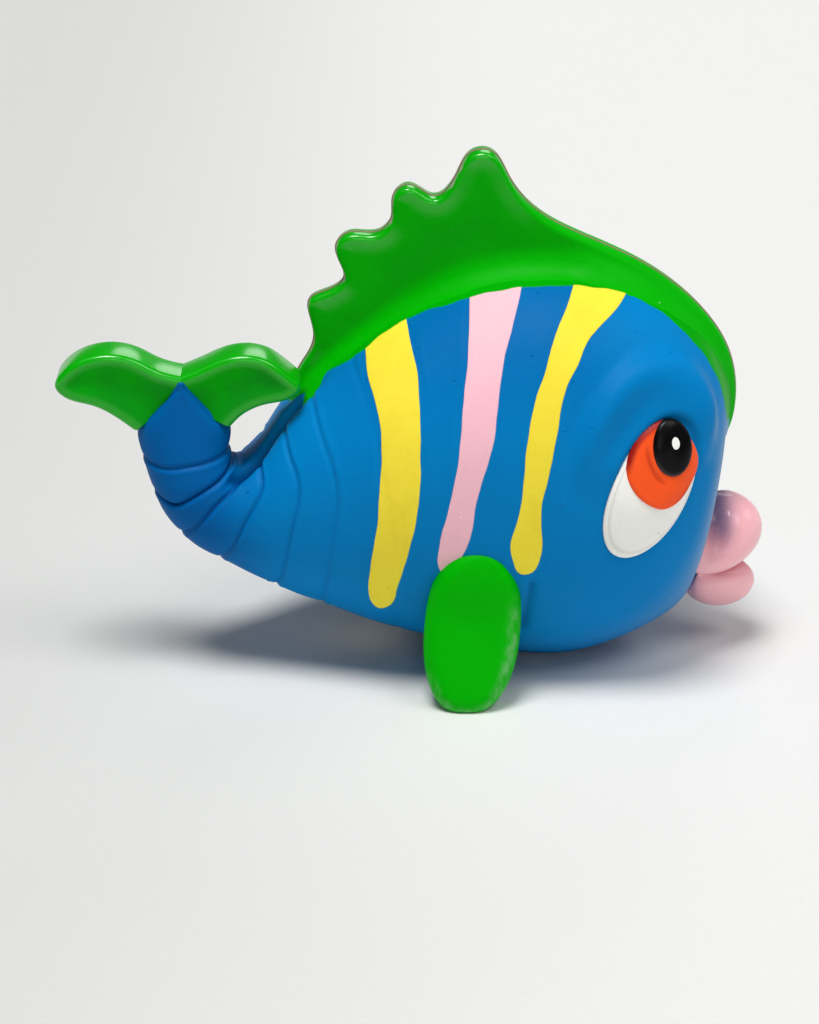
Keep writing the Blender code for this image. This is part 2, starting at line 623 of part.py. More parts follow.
for name, side in flank_sides.items():
    spot, across, up, normal = EYES[side]
    frame = Matrix.Translation(spot) @ Matrix((across, up, normal)).transposed().to_4x4()
    pupil_rise = IRIS_RISE + 0.5 * IRIS_LENGTH - 0.5 * PUPIL_LENGTH - PUPIL_RING
    glint_rise = pupil_rise + GLINT_RISE
    shapes = {
        "eye_white": (EYE_LENGTH, EYE_WIDTH, 0.0, 0.0, WHITE_RELIEF, "white_paint", 40),
        "eye_iris": (IRIS_LENGTH, IRIS_WIDTH, IRIS_RISE, IRIS_LID, IRIS_RELIEF, "orange_paint", 32),
        "eye_pupil": (PUPIL_LENGTH, PUPIL_WIDTH, pupil_rise, PUPIL_LID, PUPIL_RELIEF, "black_paint", 24),
        "eye_glint": (GLINT_SIZE, GLINT_SIZE, glint_rise, PUPIL_LID, GLINT_RELIEF, "white_paint", 14),
    }
    inner = None
    for part, (length, width, rise, lid, relief, paint, count) in reversed(shapes.items()):
        outline = within_eye(oval(length, width, count, 0.0, (0.0, rise)), rise, lid)
        room = within_eye(oval(length, width, count, GAP, (0.0, rise)), rise, lid - GAP)
        patch = add(f"{name}_{part}", prism(f"{name}_{part}", outline, frame, -9.0 * MM, 9.0 * MM), paint)
        fit(patch, grown_trunk(GAP + relief), "INTERSECT")
        fit(patch, grown_trunk(GAP), "DIFFERENCE")
        if inner is not None:
            fit(patch, inner, "DIFFERENCE")
        inner = add(f"{name}_{part}_room", prism(f"{name}_{part}_room", room, frame, -10.0 * MM, 10.0 * MM))

# Squeaker: a cup held by a thick collar of the skin, a cap with the air hole, a reed on its tube, and a clip

belly = spline(KNOTS, TABLE, np.linspace(row_place(6), row_place(CAVITY_END), 200))
seat_row = int(np.argmin(np.abs(belly[:, 2] - SQUEAKER_X)))
seat = Vector((belly[seat_row, 2], belly[seat_row, 5], belly[seat_row, 3]))
slope = belly[seat_row + 1] - belly[seat_row - 1]
inward = Vector((slope[3], 0.0, -slope[2])).normalized()
inward = inward if inward.z > 0.0 else -inward
sideways = Vector((0.0, 1.0, 0.0))
squeaker_axes = Matrix((sideways.cross(inward), sideways, inward)).transposed()
squeaker_frame = Matrix.Translation(seat) @ squeaker_axes.to_4x4()

cup_radius = 0.5 * CUP_DIAMETER
bead_top = CUP_RECESS + CUP_RIM
collar_low = bead_top + GAP
collar_high = collar_low + COLLAR_THICKNESS
flange_low = collar_high + GAP
flange_top = flange_low + CUP_RIM
cap_seat = CUP_RECESS + CAP_THICKNESS + GAP
mouth = cup_radius - CUP_WALL
ledge = mouth - 1.0 * MM
tube_radius = 0.5 * TUBE_DIAMETER
tube_low = flange_low - 1.6 * MM
port = tube_radius + GAP

collar = add("collar", turned("collar", (
    (cup_radius - 1.0 * MM, 0.0), (cup_radius + COLLAR_WALL, 0.0),
    (cup_radius + COLLAR_WALL, collar_high), (cup_radius - 1.0 * MM, collar_high)), squeaker_frame))
fit(collar, outside, "INTERSECT")
fit(body, collar, "UNION")
seat_hole = add("seat_hole", turned_solid("seat_hole", (
    (cup_radius + CUP_BEAD + GAP, -12.0 * MM), (cup_radius + CUP_BEAD + GAP, collar_low),
    (cup_radius + GAP, collar_low), (cup_radius + GAP, collar_high + 9.0 * MM)), squeaker_frame))
fit(body, seat_hole, "DIFFERENCE")
fit(body, floor, "DIFFERENCE")

add("squeaker_cup", turned("squeaker_cup", (
    (mouth, CUP_RECESS), (cup_radius + CUP_BEAD, CUP_RECESS), (cup_radius + CUP_BEAD, bead_top),
    (cup_radius, bead_top), (cup_radius, flange_low), (cup_radius + CUP_FLANGE, flange_low),
    (cup_radius + CUP_FLANGE, flange_top), (port, flange_top), (port, flange_low), (ledge, flange_low),
    (ledge, cap_seat), (mouth, cap_seat)), squeaker_frame), "white_plastic", smooth=False)
add("squeaker_cap", turned("squeaker_cap", (
    (0.5 * CAP_HOLE, CUP_RECESS), (mouth - GAP, CUP_RECESS), (mouth - GAP, cap_seat - GAP),
    (0.5 * CAP_HOLE, cap_seat - GAP)), squeaker_frame), "white_plastic", smooth=False)

foot_radius = tube_radius + 1.4 * MM
tube_high = tube_low + TUBE_LENGTH
reed_tube = add("reed_tube", turned("reed_tube", (
    (0.5 * TUBE_BORE, tube_low), (foot_radius, tube_low), (foot_radius, flange_low - GAP),
    (tube_radius, flange_low - GAP), (tube_radius, tube_high),
    (0.5 * TUBE_BORE, tube_high)), squeaker_frame, 24), "white_plastic", smooth=False)
flat_low = flange_top + 0.4 * MM
flat_cut = block("reed_flat", (TUBE_FLAT, -6.0 * MM, flat_low), (9.0 * MM, 6.0 * MM, tube_high + 1.0 * MM))
flat_cut.transform(squeaker_frame)
fit(reed_tube, add("reed_flat", flat_cut), "DIFFERENCE")
clip_low = flat_low + 0.2 * MM
clip_high = clip_low + CLIP_HEIGHT
slot_cut = block("reed_slot", (0.0, -0.9 * MM, clip_high + 1.0 * MM),
                 (9.0 * MM, 0.9 * MM, tube_high - 1.4 * MM))
slot_cut.transform(squeaker_frame)
fit(reed_tube, add("reed_slot", slot_cut), "DIFFERENCE")

reed_face = TUBE_FLAT + GAP
reed_low = clip_low + 0.1 * MM
reed_hinge = squeaker_frame @ Vector((reed_face + 0.5 * REED_THICKNESS, 0.0, clip_high))
reed_mesh = block("reed", (reed_face, -0.5 * REED_WIDTH, reed_low),
                  (reed_face + REED_THICKNESS, 0.5 * REED_WIDTH, reed_low + REED_LENGTH))
reed_mesh.transform(squeaker_frame)
add("reed", reed_mesh, "reed_film", reed_hinge, smooth=False)
clip_bore = math.hypot(reed_face + REED_THICKNESS, 0.5 * REED_WIDTH) + GAP
clip_bore = max(clip_bore, tube_radius + GAP)
add("reed_clip", turned("reed_clip", (
    (clip_bore, clip_low), (clip_bore + CLIP_WALL, clip_low), (clip_bore + CLIP_WALL, clip_high),
    (clip_bore, clip_high)), squeaker_frame, 24), "white_plastic", smooth=False)
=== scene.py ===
import math

import bmesh
import bpy
import numpy as np
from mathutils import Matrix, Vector
from mathutils.geometry import delaunay_2d_cdt


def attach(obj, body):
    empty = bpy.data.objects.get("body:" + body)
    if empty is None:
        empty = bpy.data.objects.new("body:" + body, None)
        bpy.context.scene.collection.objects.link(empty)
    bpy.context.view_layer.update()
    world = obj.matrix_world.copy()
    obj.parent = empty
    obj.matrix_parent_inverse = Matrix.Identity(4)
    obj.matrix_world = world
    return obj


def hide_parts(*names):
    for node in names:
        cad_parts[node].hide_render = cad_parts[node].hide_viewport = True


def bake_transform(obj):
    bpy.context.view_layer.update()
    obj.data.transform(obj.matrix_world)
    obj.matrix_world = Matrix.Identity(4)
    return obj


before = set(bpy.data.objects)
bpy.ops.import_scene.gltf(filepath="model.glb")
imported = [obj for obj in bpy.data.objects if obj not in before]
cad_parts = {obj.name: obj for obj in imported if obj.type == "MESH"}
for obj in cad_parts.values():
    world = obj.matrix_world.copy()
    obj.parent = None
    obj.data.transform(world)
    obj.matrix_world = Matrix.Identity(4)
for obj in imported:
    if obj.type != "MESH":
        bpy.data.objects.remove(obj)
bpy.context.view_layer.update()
print("frame loaded")

mm = 0.001  # shapes are worked out in millimetres and made in metres
sides = {"Right": -1.0, "Left": 1.0}  # the fish's right side faces the camera
chunk = 4000  # points compared with an outline at a time, to spare memory
paintNames = ("yellow", "pink", "green")  # painted over the blue, in this order
unpainted = -9.0  # mark of a point well outside a painted shape
farAway = 99.0


# curves and distances

def ramp(value, low, high):
    share = np.clip((value - low) / (high - low), 0.0, 1.0)
    return share * share * (3.0 - 2.0 * share)


def hump(distance, width):
    return np.exp(-((distance / width) ** 2))


def raised(value, power):
    return np.sign(value) * np.abs(value) ** power


def leftOf(turn):  # unit vectors at right angles to steps along a flat line
    return np.stack([-turn[:, 1], turn[:, 0]], 1) / np.linalg.norm(turn, axis=1)[:, None]


def splineThrough(knots, values):
    knots = np.asarray(knots, float)
    values = np.asarray(values, float).reshape(len(knots), -1)
    steps = np.diff(knots)
    slopes = np.diff(values, axis=0) / steps[:, None]
    system = np.eye(len(knots))
    right = np.zeros_like(values)
    for i in range(1, len(knots) - 1):
        system[i, i - 1:i + 2] = steps[i - 1], 2.0 * (steps[i - 1] + steps[i]), steps[i]
        right[i] = 6.0 * (slopes[i] - slopes[i - 1])
    return knots, values, np.linalg.solve(system, right)


def splineAt(curve, at):
    knots, values, bend = curve
    at = np.asarray(at, float)
    flat = at.ravel()
    i = np.clip(np.searchsorted(knots, flat, side="right") - 1, 0, len(knots) - 2)
    step = (knots[i + 1] - knots[i])[:, None]
    after = (flat - knots[i])[:, None]
    before = step - after
    found = (bend[i] * before**3 + bend[i + 1] * after**3) / (6.0 * step)
    found += (values[i] / step - bend[i] * step / 6.0) * before
    found += (values[i + 1] / step - bend[i + 1] * step / 6.0) * after
    return found.reshape(at.shape + (values.shape[1],))


def lengthAlong(points):
    return np.concatenate([[0.0], np.cumsum(np.linalg.norm(np.diff(points, axis=0), axis=1))])


def smoothLine(points, count):
    points = np.asarray(points, float)
    chord = lengthAlong(points)
    return splineAt(splineThrough(chord, points), np.linspace(0.0, chord[-1], count))


def handPainted(line, amount, seed):  # small wobble of a brush line
    along = lengthAlong(line)
    normal = leftOf(np.gradient(line, axis=0))
    draw = np.random.default_rng(seed)
    paces = (0.21, 0.37, 0.66, 1.1)
    wave = sum(np.sin(along * pace + draw.uniform(0.0, 6.28)) for pace in paces)
    return line + normal * (0.5 * amount * wave)[:, None]


def edgeDistance(points, outline):
    step = np.roll(outline, -1, axis=0) - outline
    size = np.maximum((step * step).sum(1), 1e-12)
    found = np.empty(len(points))
    nearest = np.empty(len(points), int)
    for start in range(0, len(points), chunk):
        part = points[start:start + chunk]
        away = part[:, None] - outline[None]
        along = np.clip((away * step).sum(2) / size, 0.0, 1.0)
        distance = np.linalg.norm(away - along[..., None] * step, axis=2)
        nearest[start:start + chunk] = distance.argmin(1)
        found[start:start + chunk] = distance.min(1)
    return found, nearest


def inside(points, outline):
    ends = np.roll(outline, -1, axis=0)
    rise = np.where(ends[:, 1] == outline[:, 1], 1.0, ends[:, 1] - outline[:, 1])
    found = np.empty(len(points), bool)
    for start in range(0, len(points), chunk):
        part = points[start:start + chunk]
        above = (outline[None, :, 1] > part[:, None, 1]) != (ends[None, :, 1] > part[:, None, 1])
        cross = outline[:, 0] + (part[:, None, 1] - outline[:, 1]) / rise * (ends[:, 0] - outline[:, 0])
        found[start:start + chunk] = (above & (part[:, None, 0] < cross)).sum(1) % 2 == 1
    return found


def signedDistance(points, outline):  # positive inside
    distance, _ = edgeDistance(points, outline)
    return np.where(inside(points, outline), distance, -distance)


# meshes

def addObject(name, data):
    made = bpy.data.objects.new(name, data)
    bpy.context.scene.collection.objects.link(made)
    return made


def makePiece(name, points, faces, material, marks=None, closed=True):
    mesh = bpy.data.meshes.new(name)
    mesh.from_pydata((np.asarray(points) * mm).tolist(), [], faces)
    shape = bmesh.new()
    shape.from_mesh(mesh)
    if closed:
        bmesh.ops.recalc_face_normals(shape, faces=shape.faces)
        if shape.calc_volume(signed=True) < 0.0:
            bmesh.ops.reverse_faces(shape, faces=shape.faces)
    shape.to_mesh(mesh)
    shape.free()
    for label, values in (marks or {}).items():
        stored = mesh.attributes.new(label, "FLOAT", "POINT")
        stored.data.foreach_set("value", np.asarray(values, np.float32))
    mesh.polygons.foreach_set("use_smooth", [True] * len(mesh.polygons))
    mesh.materials.append(material)
    return addObject(name, mesh)


def applied(made):  # turns what the modifiers make into a plain mesh
    graph = bpy.context.evaluated_depsgraph_get()
    mesh = bpy.data.meshes.new_from_object(
        made.evaluated_get(graph), preserve_all_data_layers=True, depsgraph=graph)
    made.modifiers.clear()
    made.data = mesh
    mesh.name = made.name
    return made


def gridFaces(rows, columns, wrap):
    last = columns if wrap else columns - 1
    faces = []
    for r in range(rows - 1):
        for c in range(last):
            d = (c + 1) % columns
            low, high = r * columns, (r + 1) * columns
            faces.append((low + c, low + d, high + d, high + c))
    return faces


def tubeFaces(rows, columns):
    ends = [tuple(range(columns)), tuple((rows - 1) * columns + c for c in range(columns))]
    return gridFaces(rows, columns, True) + ends


def plateMesh(outline, rings, spacing, extra=()):
    # points and triangles that fill an outline on both faces, with rows of points along its rim
    after = np.roll(outline, -1, axis=0)
    area = 0.5 * np.sum(outline[:, 0] * after[:, 1] - after[:, 0] * outline[:, 1])
    outline = outline if area > 0.0 else outline[::-1]
    inward = leftOf(np.roll(outline, -1, axis=0) - np.roll(outline, 1, axis=0))
    found = [outline]
    for ring in rings:
        inset = outline + inward * ring
        inset = inset[inside(inset, outline)]
        found.append(inset[edgeDistance(inset, outline)[0] > 0.97 * ring])
    low, high = outline.min(0), outline.max(0)
    rows = np.arange(low[1], high[1], spacing * 0.866)  # rows of a triangular grid
    columns = np.arange(low[0], high[0], spacing)
    grid = np.concatenate([np.stack([columns + 0.5 * spacing * (i % 2), np.full(len(columns), z)], 1)
                           for i, z in enumerate(rows)])
    for field, clear in ((grid, rings[-1] + 0.5 * spacing), (np.asarray(extra), rings[-1])):
        if len(field):
            field = field[inside(field, outline)]
            found.append(field[edgeDistance(field, outline)[0] > clear])
    edges = [(i, (i + 1) % len(outline)) for i in range(len(outline))]
    cut = delaunay_2d_cdt([Vector(p) for p in np.concatenate(found)], edges, [], 1, 1e-6)
    used = sorted({v for face in cut[2] for v in face})
    number = {v: i for i, v in enumerate(used)}
    flat = np.array([tuple(cut[0][v]) for v in used])
    rim = {}
    for new, olds in enumerate(cut[3]):
        for old in olds:
            if old < len(outline):
                rim[old] = number[new]
    faces = [tuple(number[v] for v in face) for face in cut[2]]
    count = len(flat)
    faces += [tuple(count + v for v in reversed(face)) for face in faces]
    for i in range(len(outline)):
        a, b = rim[i], rim[(i + 1) % len(outline)]
        faces.append((a, b, count + b, count + a))
    return outline, flat, faces


def bothFaces(flat, front, back):
    # points of a plate's two faces: where across it, the height of the face, where up it
    twice = np.concatenate([flat, flat])
    return np.stack([twice[:, 0], np.concatenate([front, back]), twice[:, 1]], 1)


def rounded(full, edge, distance):  # half thickness of a plate whose rim is a quarter round
    inner = np.clip(1.0 - distance / edge, 0.0, 1.0)
    least = 0.01  # share of the rounding that stays at the rim, so that the faces do not meet
    return full - edge + edge * ((1.0 - least) * np.sqrt(1.0 - inner**2) + least)


# the body's surface: place along it from the nose, angle round it from the ridge of the back

fishBody = {
    "width": 59.0,
    "power": 2.2,  # 2 is an ellipse, more is squarer
    "tipPower": 3.6,  # at the tail's pointed end
    "tipFrom": (148.0, 160.0),
    "nose": (57.7, 33.5),
    # back X and Z, belly X and Z, share of the width, sideways Y, from nose to tail tip
    "sections": (
        (59.5, 43.5, 56.5, 24.0, 0.26, 0.0), (60.3, 51.8, 55.5, 18.4, 0.45, 0.0),
        (58.4, 61.2, 53.3, 12.8, 0.63, 0.0), (52.5, 69.2, 48.5, 7.6, 0.80, 0.0),
        (42.1, 75.6, 40.5, 2.8, 0.935, 0.0), (28.1, 78.6, 29.1, -0.5, 1.0, 0.0),
        (13.1, 77.0, 16.1, 0.4, 0.99, 0.0), (-0.4, 71.2, 3.1, 3.2, 0.94, 0.0),
        (-14.9, 61.2, -9.4, 6.8, 0.84, 0.0), (-23.9, 52.8, -17.9, 10.6, 0.72, -1.0),
        (-28.6, 46.3, -27.4, 15.1, 0.58, -3.0), (-31.9, 42.5, -37.3, 20.9, 0.45, -5.4),
        (-34.2, 41.2, -44.7, 26.1, 0.36, -7.2), (-35.6, 42.2, -49.9, 34.0, 0.31, -8.3),
        (-36.1, 44.4, -52.0, 41.0, 0.275, -8.5), (-35.8, 48.9, -53.5, 48.3, 0.235, -8.5),
        (-40.2, 54.4, -49.2, 54.0, 0.195, -8.5), (-43.9, 59.2, -45.3, 59.2, 0.17, -8.5),
    ),
    "wall": 2.4,
    "columns": 150,  # per side
    "nosePlaces": (0.3, 0.7, 1.2, 1.8),
    "spacing": 0.62,
    "tailSpacing": 0.4,
    "tailFrom": 94.0,
    "seam": 139.5,  # where the trunk meets the tail
    "slantFrom": 116.0,  # from here rows of points turn to lie along the seam
}


def bodySpline():
    rows = np.array(fishBody["sections"], float)
    rows[:, 4] *= 0.5 * fishBody["width"]
    nose = np.array([[*fishBody["nose"], *fishBody["nose"], 0.0, 0.0]])
    mirrored = rows[2::-1][:, [2, 3, 0, 1, 4, 5]] * (1, 1, 1, 1, -1, 1)
    table = np.concatenate([mirrored, nose, rows])
    knots = 0.5 * (lengthAlong(table[:, 0:2]) + lengthAlong(table[:, 2:4]))
    return splineThrough(knots - knots[3], table)


bodyCurve = bodySpline()
tailTip = float(bodyCurve[0][-1])


def bodyPoint(place, angle):
    shape = np.broadcast(place, angle).shape
    rows = splineAt(bodyCurve, np.broadcast_to(place, shape))
    middle = 0.5 * (rows[..., 0:2] + rows[..., 2:4])
    half = 0.5 * (rows[..., 0:2] - rows[..., 2:4])
    squarer = (fishBody["tipPower"] - fishBody["power"]) * ramp(place, *fishBody["tipFrom"])
    power = 2.0 / (fishBody["power"] + squarer)
    up = raised(np.cos(angle), power)
    side = raised(np.sin(angle), power)
    return np.stack([middle[..., 0] + half[..., 0] * up, rows[..., 5] - rows[..., 4] * side,
                     middle[..., 1] + half[..., 1] * up], -1)


def bodyNormal(place, angle):
    place = np.maximum(place, 1.0)
    along = bodyPoint(place + 0.3, angle) - bodyPoint(place - 0.3, angle)
    around = bodyPoint(place, angle + 0.02) - bodyPoint(place, angle - 0.02)
    normal = np.cross(along, around)
    return normal / np.maximum(np.linalg.norm(normal, axis=-1, keepdims=True), 1e-12)


tailRings = {
    # grooves from the tip down, each as angle in degrees and place along the body
    "lines": (
        ((0, 145.2), (22, 145.2), (54, 145.2), (84, 145.4), (110, 145.5), (146, 146.2), (180, 146.8)),
        ((0, 139.3), (6, 139.3), (40, 138.8), (72, 139.3), (99, 139.5), (129, 140.1), (144, 141.1), (180, 142.0)),
        ((0, 132.1), (20, 132.1), (46, 132.4), (69, 134.4), (95, 135.2), (128, 135.5), (180, 135.9)),
        ((0, 123.6), (42, 123.1), (55, 122.5), (68, 124.3), (88, 127.0), (112, 128.4), (180, 130.4)),
        ((0, 113.4), (51, 112.5), (64, 111.4), (77, 112.5), (92, 115.4), (119, 118.5), (180, 121.5)),
        ((0, 106.6), (50, 104.6), (69, 102.9), (83, 103.2), (96, 105.5), (118, 108.9), (180, 112.0)),
    ),
    "depths": (0.5, 0.6, 0.6, 0.5, 0.4, 0.3),
    "lineWidth": 0.5,
    "bulge": 0.22,
    "bulgeFrom": (103.0, 118.0),
    "lip": 0.14,  # raised edge on the trunk's side of each groove
    "lipAway": 1.0,
    "lipWidth": 0.6,
    "faint": ((0, 98.4), (24, 97.1), (41, 95.3), (52, 94.3), (180, 93.0)),
    "faintDepth": 0.18,
    "faintWidth": 0.7,
    "elbowDepth": 3.4,  # groove along the bend, between the rings and the smooth far bulge
    "elbowWidth": 1.7,
    "elbowAside": 6.6,  # towards the near side
    "elbowFrom": (101.0, 112.0),
    "elbowTo": (130.0, 138.0),
    "elbowShade": 1.3,
    "smoothNear": (-1.5, 0.5),  # the far bulge has no rings between these edges
    "smoothFar": (-3.0, 1.5),
    # creases inside the edges of the pointed end, as place and angle in degrees
    "stemCreases": (((163.0, 74), (160.0, 48), (157.0, 38), (154.0, 33)),
                    ((162.6, 104), (158.6, 160), (155.4, 158))),
    "stemDepth": 0.3,
    "stemWidth": 0.45,
    "stemFrom": 150.0,
    "underCrest": 1.0,  # the skin sinks under the end of the crest
    "underFrom": (88.0, 96.0),
    "underTo": (110.0, 116.0),
    "underWidth": 4.0,
}
ringCurves = [splineThrough(*zip(*line)) for line in tailRings["lines"]]
faintCurve = splineThrough(*zip(*tailRings["faint"]))


def foldedDegrees(angle):  # 0 at the back and 180 at the belly, on either side
    return np.degrees(np.arccos(np.clip(np.cos(angle), -1.0, 1.0)))


def ringPlace(curve, angle):
    return splineAt(curve, foldedDegrees(angle))[..., 0]


eyeForm = {
    "middle": (43.9, -26.8, 43.3),
    "up": (0.416, 0.189, 0.889),
    "across": (0.854, 0.256, -0.454),  # towards the nose
    "white": (1.0, -0.2, 8.0, 14.5),  # middle and half sizes, across and up
    "whiteRise": 1.2,
    "whiteLeast": 0.35,
    "roundFrom": 0.86,  # share of the way out at which a patch begins to round off
    "lid": (-2.5, 6.0, 11.9, 15.7),
    "lidSize": 13.0,
    "lidRise": 1.9,
    "lidSlopes": (2.4, 3.9),  # width of the ridge, outwards and inwards
    "valley": (0.3, 3.6, 1.6),  # behind the ridge: depth, distance from it, width
    "bowl": 1.15,
    "bowlWidth": 9.0,
    "overhang": 0.7,
    "overhangWidth": 3.0,
    "rimSize": 9.0,
    "socket": 0.4,
    "until": 75.0,  # place along the body behind which there is no brow
    "iris": ((-6.5, 3.5), (-6.0, 1.4), (-4.6, -0.6), (-1.6, -2.5), (1.3, -3.1), (4.0, -2.8), (6.0, -1.2), (7.2, 1.4),
             (7.6, 4.0), (7.8, 6.2), (7.2, 8.3), (5.7, 9.9), (3.9, 11.2), (2.2, 12.6), (0.2, 13.4), (-2.0, 13.0),
             (-4.0, 11.5), (-5.5, 9.2), (-6.4, 6.6)),
    "irisMiddle": (1.0, 5.0),
    "irisRise": 0.5,
    "pupil": (0.6, 8.5, 3.8, 5.3, 26.0),  # middle, half sizes, tilt in degrees
    "pupilRise": 1.3,
    "glint": (0.5, 9.3, 0.8, 1.2, 26.0),
    "glintRise": 0.16,
    "rows": 26,
    "sink": 0.9,  # how deep a patch's rim goes under the skin
    "places": (20.0, 70.0),  # part of the body that is searched for the eye
    "angles": (0.3, 2.6),
}


def eyeAxes(side):
    flip = np.array([1.0, -side, 1.0])
    return [np.array(eyeForm[key]) * flip for key in ("middle", "across", "up")]


def ovalTilt(oval):
    tilt = math.radians(oval[4]) if len(oval) > 4 else 0.0
    return math.cos(tilt), math.sin(tilt)


def ovalRadius(u, v, oval):  # 1 on the rim of an oval
    cos, sin = ovalTilt(oval)
    a, b = u - oval[0], v - oval[1]
    return np.hypot((a * cos + b * sin) / oval[2], (b * cos - a * sin) / oval[3])


def browRelief(u, v):  # ridge over the eye, and the hollow under it
    edge = (ovalRadius(u, v, eyeForm["lid"]) - 1.0) * eyeForm["lidSize"]
    outer, inner = eyeForm["lidSlopes"]
    lid = eyeForm["lidRise"] * np.where(edge > 0.0, hump(edge, outer), hump(edge, inner))
    depth, away, wide = eyeForm["valley"]
    bowl = eyeForm["bowl"] * ramp(-edge, 0.0, eyeForm["bowlWidth"]) + depth * hump(edge - away, wide)
    towardsNose = ramp(u, 0.0, 6.0) * (1.0 - ramp(v, 10.0, 19.0))
    return (lid - bowl) * ramp(v, -8.0, 8.0) * (1.0 - towardsNose)


faceForm = {
    "ridge": 1.4, "ridgeWidth": 4.5, "ridgeFoot": (37.5, 46.0), "ridgeTop": (54.0, 62.0), "ridgeFront": 50.0,
    "chin": 1.1, "chinX": 53.5, "chinZ": 10.5, "chinSize": 7.0, "chinWidth": 16.0,
}


stripeForm = {  # X and Z seen from the side, down one edge and up the other
    "yellowRear": ((-11.5, 67.5), (-9.7, 64.1), (-9.3, 62.1), (-8.0, 58.8), (-6.8, 54.6), (-6.4, 49.4), (-6.7, 43.7),
                   (-7.1, 37.8), (-7.9, 31.3), (-8.7, 25.3), (-9.0, 20.9), (-8.5, 17.0), (-7.0, 15.4), (-5.0, 16.7),
                   (-3.6, 20.9), (-2.0, 27.2), (-0.6, 33.5), (0.4, 39.4), (0.9, 45.3), (0.9, 51.2), (0.7, 59.8),
                   (0.2, 63.8), (-1.1, 67.7), (-2.6, 72.0)),
    "pinkMiddle": ((10.4, 78.0), (10.2, 74.6), (10.0, 71.2), (9.5, 65.4), (8.8, 58.3), (8.1, 50.2), (7.2, 44.8),
                   (6.3, 40.1), (5.0, 35.0), (4.3, 30.8), (4.3, 27.4), (5.4, 25.6), (7.2, 26.6), (8.5, 29.1),
                   (9.9, 32.5), (10.7, 35.9), (11.6, 42.2), (12.5, 45.6), (14.0, 50.5), (15.4, 60.5), (16.5, 66.7),
                   (17.6, 70.5), (18.8, 74.0), (21.0, 79.5)),
    "yellowFront": ((31.5, 79.5), (29.7, 77.0), (27.6, 73.8), (25.9, 70.7), (24.3, 66.0), (22.3, 60.6), (20.7, 51.8),
                    (20.1, 45.1), (19.4, 39.4), (18.3, 35.0), (17.9, 31.6), (18.7, 28.1), (19.5, 26.4), (21.1, 26.2),
                    (23.3, 29.1), (23.8, 31.6), (23.6, 35.8), (23.6, 40.0), (24.7, 46.0), (25.6, 50.9), (26.8, 57.7),
                    (28.4, 63.4), (30.5, 66.9), (32.4, 70.2), (35.8, 72.7), (41.5, 76.5)),
    "green": ((-24.9, 50.4), (-24.0, 51.8), (-21.7, 54.8), (-19.3, 57.3), (-15.1, 60.2), (-9.9, 64.1), (-2.0, 69.5),
              (10.2, 74.8), (19.6, 76.9), (30.9, 77.0), (39.7, 75.4), (47.3, 71.4), (54.1, 64.9), (58.5, 56.6),
              (59.9, 49.7), (60.6, 46.0)),
    "aboveGreen": ((70.0, 46.0), (70.0, 90.0), (-30.0, 90.0)),
    "greenTip": (-25.5, 1.6, -15.0),  # X of the green's end on the back, half width there, X where it is full
    "greenTongue": (45.4, 11.0, 12.5),  # low end, height and half width of its rounded end on the forehead
    "greenFront": 40.0,
    "wobble": 0.07,
    "thickness": 0.1,
    "mouldLine": 0.1,  # faint line in the mould beside each stripe
    "mouldGap": 1.5,
    "mouldWidth": 0.45,
}


def stripeOutlines():
    wobble = stripeForm["wobble"]
    drawn = {}
    for seed, key in enumerate(("yellowRear", "pinkMiddle", "yellowFront")):
        drawn[key] = handPainted(smoothLine(stripeForm[key], 170), wobble, seed + 3)
    edge = handPainted(smoothLine(stripeForm["green"], 150), wobble, 11)
    drawn["green"] = np.concatenate([edge, np.array(stripeForm["aboveGreen"])])
    return drawn


outlines = stripeOutlines()


def paintMarks(points):  # signed distance to each painted edge, in millimetres
    x, y, z = points.reshape(-1, 3).T
    distances = {key: signedDistance(np.stack([x, z], 1), outline) for key, outline in outlines.items()}
    end, half, full = stripeForm["greenTip"]
    limit = np.where(x < full, half + (x - end) - np.abs(y), -unpainted)
    low, tall, wide = stripeForm["greenTongue"]
    rise = np.clip((z - low) / tall, 0.0, 1.0)
    tongue = (x > stripeForm["greenFront"]) & (rise < 1.0)
    limit = np.where(tongue, wide * np.sqrt(rise) - np.abs(y), limit)
    return {"yellow": np.maximum(distances["yellowRear"], distances["yellowFront"]),
            "pink": distances["pinkMiddle"], "green": np.minimum(distances["green"], limit)}


# crease in the skin in front of each fin
finCrease = {"line": ((22.1, -27.8, 24.0), (20.6, -23.4, 12.6)), "depth": 0.55, "width": 0.9, "shade": 0.6}


def lineDistance(points, line):
    line = np.asarray(line)
    found = np.full(points.shape[:-1], farAway)
    for start, end in zip(line, line[1:]):
        step = end - start
        share = np.clip(((points - start) @ step) / (step @ step), 0.0, 1.0)
        found = np.minimum(found, np.linalg.norm(points - start - share[..., None] * step, axis=-1))
    return found


